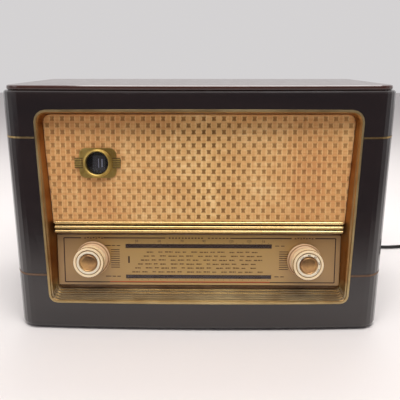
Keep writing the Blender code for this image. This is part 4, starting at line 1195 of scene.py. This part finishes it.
# %% Transformers: windings, tag boards and bolts
bolt_rings = [(0, 0), (0.0030, 0), (0.0032, 0.0005), (0.0030, 0.0016), (0.0014, 0.0018), (0.0013, 0.0032),
              (0, 0.0034)]
for name, x, y, wide, deep, tall in (("mains", -0.165, 0.165, 0.060, 0.070, 0.066),
                                     ("output", 0.168, 0.215, 0.042, 0.036, 0.040)):
    wrap = block("wrap", (-wide * 0.302, -0.0005, 0), (wide * 0.302, 0.0005, tall * 0.11), 0.0004)
    tag_board = block("tag_board", (-wide * 0.34, -0.0008, tall * 0.985), (wide * 0.34, 0.0008, tall * 1.06), 0.0003)
    wraps, boards, bolts = [], [], []
    for side in (-1, 1):
        boards.append(at(0, side * deep * 0.20, 0))
        for i in range(4):
            wraps.append(at(0, side * (deep / 2 - 0.0002), tall * (0.26 + i * 0.155)))
        for bolt_x in (-wide * 0.42, wide * 0.42):
            for bolt_up in (tall * 0.12, tall * 0.88):
                bolts.append(at(bolt_x, side * (deep / 5 - 0.0001), bolt_up) @ spin(-90 * side, "X"))
    windings = join_all(f"{name}_transformer_wraps", [repeated("wraps", wrap, wraps),
                                                      repeated("boards", tag_board, boards)])
    settle(windings, on_chassis(x, y, 0.0003), wax_paper, "case")
    heads = repeated(f"{name}_transformer_bolts", turned("bolt", bolt_rings, 24), bolts)
    settle(heads, on_chassis(x, y), plated_steel, "case")
print("transformers dressed")

# %% [markdown]
# ## Wires
# Cloth-covered wires run from the transformers and the loudspeaker to the chassis.  Each is a curve through a few
# points, because a wire that is stiff enough to hold its bends still lies in smooth arcs.

# %% Wires above the chassis
wire_routes = {
    "wire_speaker_red": (cotton_red, [(0.034, 0.214, 0.120), (0.048, 0.230, 0.100), (0.052, 0.236, 0.075),
                                      (0.046, 0.236, 0.0565)]),
    "wire_speaker_black": (cotton_black, [(0.030, 0.214, 0.118), (0.040, 0.234, 0.096), (0.043, 0.240, 0.072),
                                          (0.040, 0.238, 0.0565)]),
    "wire_mains_cream": (cotton_cream, [(-0.178, 0.180, 0.1235), (-0.186, 0.192, 0.118), (-0.200, 0.198, 0.090),
                                        (-0.202, 0.196, 0.0565)]),
    "wire_mains_black": (cotton_black, [(-0.152, 0.180, 0.1235), (-0.146, 0.200, 0.115), (-0.128, 0.206, 0.088),
                                        (-0.122, 0.204, 0.0565)]),
}
wire_radius = 0.0011
for name, (look, points) in wire_routes.items():
    settle(tube(name, points, wire_radius, 12), CASE, look, "case")
print("wires:", len(wire_routes))

# %% [markdown]
# ## The dial's string and pulleys
# A string round the drum pulls the needle along its rail, over a small pulley at each end.  The string lies in the
# plane of the rail, just behind the glass's backing plate, and its straight run between the pulleys is shown.

# %% Pulleys and string
pulley_rings = [(0.0012, -0.0016), (0.0050, -0.0016), (0.0052, -0.0011), (0.0042, -0.0003), (0.0042, 0.0003),
                (0.0052, 0.0011), (0.0050, 0.0016), (0.0012, 0.0016), (0.0012, -0.0016)]
string_depth, string_up, pulley_up, pulley_x = 0.0395, 0.1524, 0.1480, 0.118
pulleys = [at(x, pulley_up, -string_depth) for x in (-pulley_x, pulley_x)]
settle(repeated("string_pulleys", turned("pulley", pulley_rings, 36), pulleys), FRONT, drum_plastic, "case")
string_run = [(x, string_up, -string_depth) for x in (-pulley_x, -0.040, 0.040, pulley_x)]
settle(tube("dial_string", string_run, 0.0003, 8), FRONT, cotton_cream, "case")
print("pulleys:", len(pulleys))

# %% [markdown]
# ## The plug's moulding
# The plug's moulded body is the frame's own, and six rounded ribs make its grip.

# %% Plug's grip
plug_box_low, plug_box_high = (Vector(corner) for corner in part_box("mains_plug"))
plug_middle = (plug_box_low + plug_box_high) / 2
grip_rings = [(0.0, -0.0005), (1.0, -0.0005), (1.025, 0.0), (1.0, 0.0005), (0.0, 0.0005)]
grip_start, grip_pitch = 0.0125, 0.0022
oval = spin(90, "Y") @ Matrix.Diagonal((0.0090, 0.0155, 1, 1))
grips = [at(plug_box_low.x + grip_start + i * grip_pitch, plug_middle.y, plug_middle.z) @ oval
         for i in range(6)]
settle(repeated("plug_grip_ribs", turned("grip", grip_rings, 48), grips), IN_PLACE, bakelite, "case")
print("plug middle:", [round(v, 4) for v in plug_middle])

# %% [markdown]
# ## Dressing the frame's own parts
# A part of the frame whose shape is right keeps its mesh and only gets a finish, put into its material slots.

# %% Finishes for the frame's parts
dressed = {
    case_lacquer: ["cabinet_case", "front_frame"],
    lid_lacquer: ["top_lid"],
    surround_brass: ["bezel_surround"],
    eye_brass: ["eye_escutcheon"],
    satin_brass: ["dial_backplate"],
    bright_brass: ["trim_bar_top", "trim_bar_middle", "trim_bar_bottom", "inlay_upper_left", "inlay_upper_right"],
    dull_brass: ["inlay_lower_left", "inlay_lower_right"],
    cap_brass: ["volume_knob_cap", "band_knob_cap"],
    dial_glass: ["dial_glass"],
    board: ["speaker_baffle", "grille_cloth"],
    ivory: ["volume_knob", "band_knob"],
    shaded_ring_ivory: ["tone_ring", "tuning_ring"],
    pointer_steel: ["dial_pointer"],
    bare_steel: ["pointer_rail", "volume_shaft", "band_shaft", "tone_sleeve", "tuning_sleeve"],
    plated_steel: ["chassis", "volume_control", "speaker_basket"],
    drum_plastic: ["dial_drum"],
    aluminium: ["capacitor_rotor", "tuning_capacitor", "filter_capacitor", "if_can_first", "if_can_second"],
    iron: ["mains_transformer", "output_transformer", "speaker_magnet"],
    cone_paper: ["speaker_cone"],
    pressboard: ["back_panel"],
    bakelite: ["band_switch", "eye_socket", "socket_strip", "mains_plug"],
    clear_glass: ["eye_tube", "valve_mixer", "valve_if_amplifier", "valve_detector", "valve_output", "dial_lamp_left",
                  "dial_lamp_right"],
    cord_rubber: ["mains_cord", "cord_coil", "cord_gland"],
    foot_rubber: ["foot_front_left", "foot_front_right", "foot_rear_left", "foot_rear_right"],
}
for finish, names in dressed.items():
    for name in names:
        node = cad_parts[name]
        node.data.materials.clear()
        node.data.materials.append(finish.material)
lead.data.materials.append(cord_rubber.material)
undressed = sorted(set(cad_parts) - {name for names in dressed.values() for name in names})
print("parts without a finish:", undressed)

# %% [markdown]
# ## The table and the light
# The radio stands on a plain pale surface.  One large soft light hangs above and a little in front, a second hangs
# behind, and a weak one fills from the left.  The surroundings are pale behind the radio, which the lid mirrors at
# a low angle, and darker towards the listener, which is what the lacquered front reflects.

# %% Table
clear_bench()
bpy.ops.mesh.primitive_plane_add(size=9)
table = bpy.context.object
table.name = "table_surface"
pale = Finish("table_pale", tint(236, 230, 227), 0.6)
drift = pale.speckle(1.6, 3.0)
pale.set("Base Color", pale.blend(drift, tint(236, 232, 230), tint(231, 226, 224)))
table.data.materials.append(pale.material)
print("table finish:", pale.material.name)

# %% Lights


def soft_light(name, place, aim, width, height, power, colour):
    lamp = bpy.data.lights.new(name, "AREA")
    lamp.shape = "RECTANGLE"
    lamp.size, lamp.size_y = width, height
    lamp.energy = power
    lamp.color = colour
    holder = bpy.data.objects.new(name, lamp)
    bpy.context.scene.collection.objects.link(holder)
    holder.location = place
    holder.rotation_euler = (Vector(aim) - Vector(place)).to_track_quat("-Z", "Y").to_euler()


soft_light("overhead", (0.08, -0.50, 1.70), (0, 0, 0.1), 1.6, 0.9, 25.0, (1.0, 0.975, 0.955))
soft_light("behind", (0.10, 0.85, 1.45), (0, 0, 0.1), 1.5, 0.6, 12.0, (1.0, 0.985, 0.975))
soft_light("window_left", (-2.0, -1.1, 1.0), (0, 0, 0.15), 0.7, 1.2, 3.5, (0.96, 0.96, 1.0))
print("lights:", len(bpy.data.lights))

# %% Surroundings
world = bpy.data.worlds.new("room")
bpy.context.scene.world = world
world.use_nodes = True
nodes, links = world.node_tree.nodes, world.node_tree.links
look = nodes.new("ShaderNodeTexCoord")
split = nodes.new("ShaderNodeSeparateXYZ")
spread = nodes.new("ShaderNodeMapRange")
spread.interpolation_type = "SMOOTHSTEP"
spread.inputs["From Min"].default_value = -0.75
spread.inputs["From Max"].default_value = 0.35
shade = nodes.new("ShaderNodeMix")
shade.data_type = "RGBA"
towards_listener, behind_radio = (0.155, 0.14, 0.155, 1), (0.66, 0.645, 0.65, 1)
shade.inputs[6].default_value = towards_listener
shade.inputs[7].default_value = behind_radio
links.new(look.outputs["Generated"], split.inputs["Vector"])
links.new(split.outputs["Y"], spread.inputs["Value"])
links.new(spread.outputs["Result"], shade.inputs[0])
links.new(shade.outputs[2], nodes["Background"].inputs["Color"])
nodes["Background"].inputs["Strength"].default_value = 1.0
bpy.context.scene.view_settings.view_transform = "Standard"
bpy.context.scene.view_settings.look = "None"
print("surroundings:", world.name)
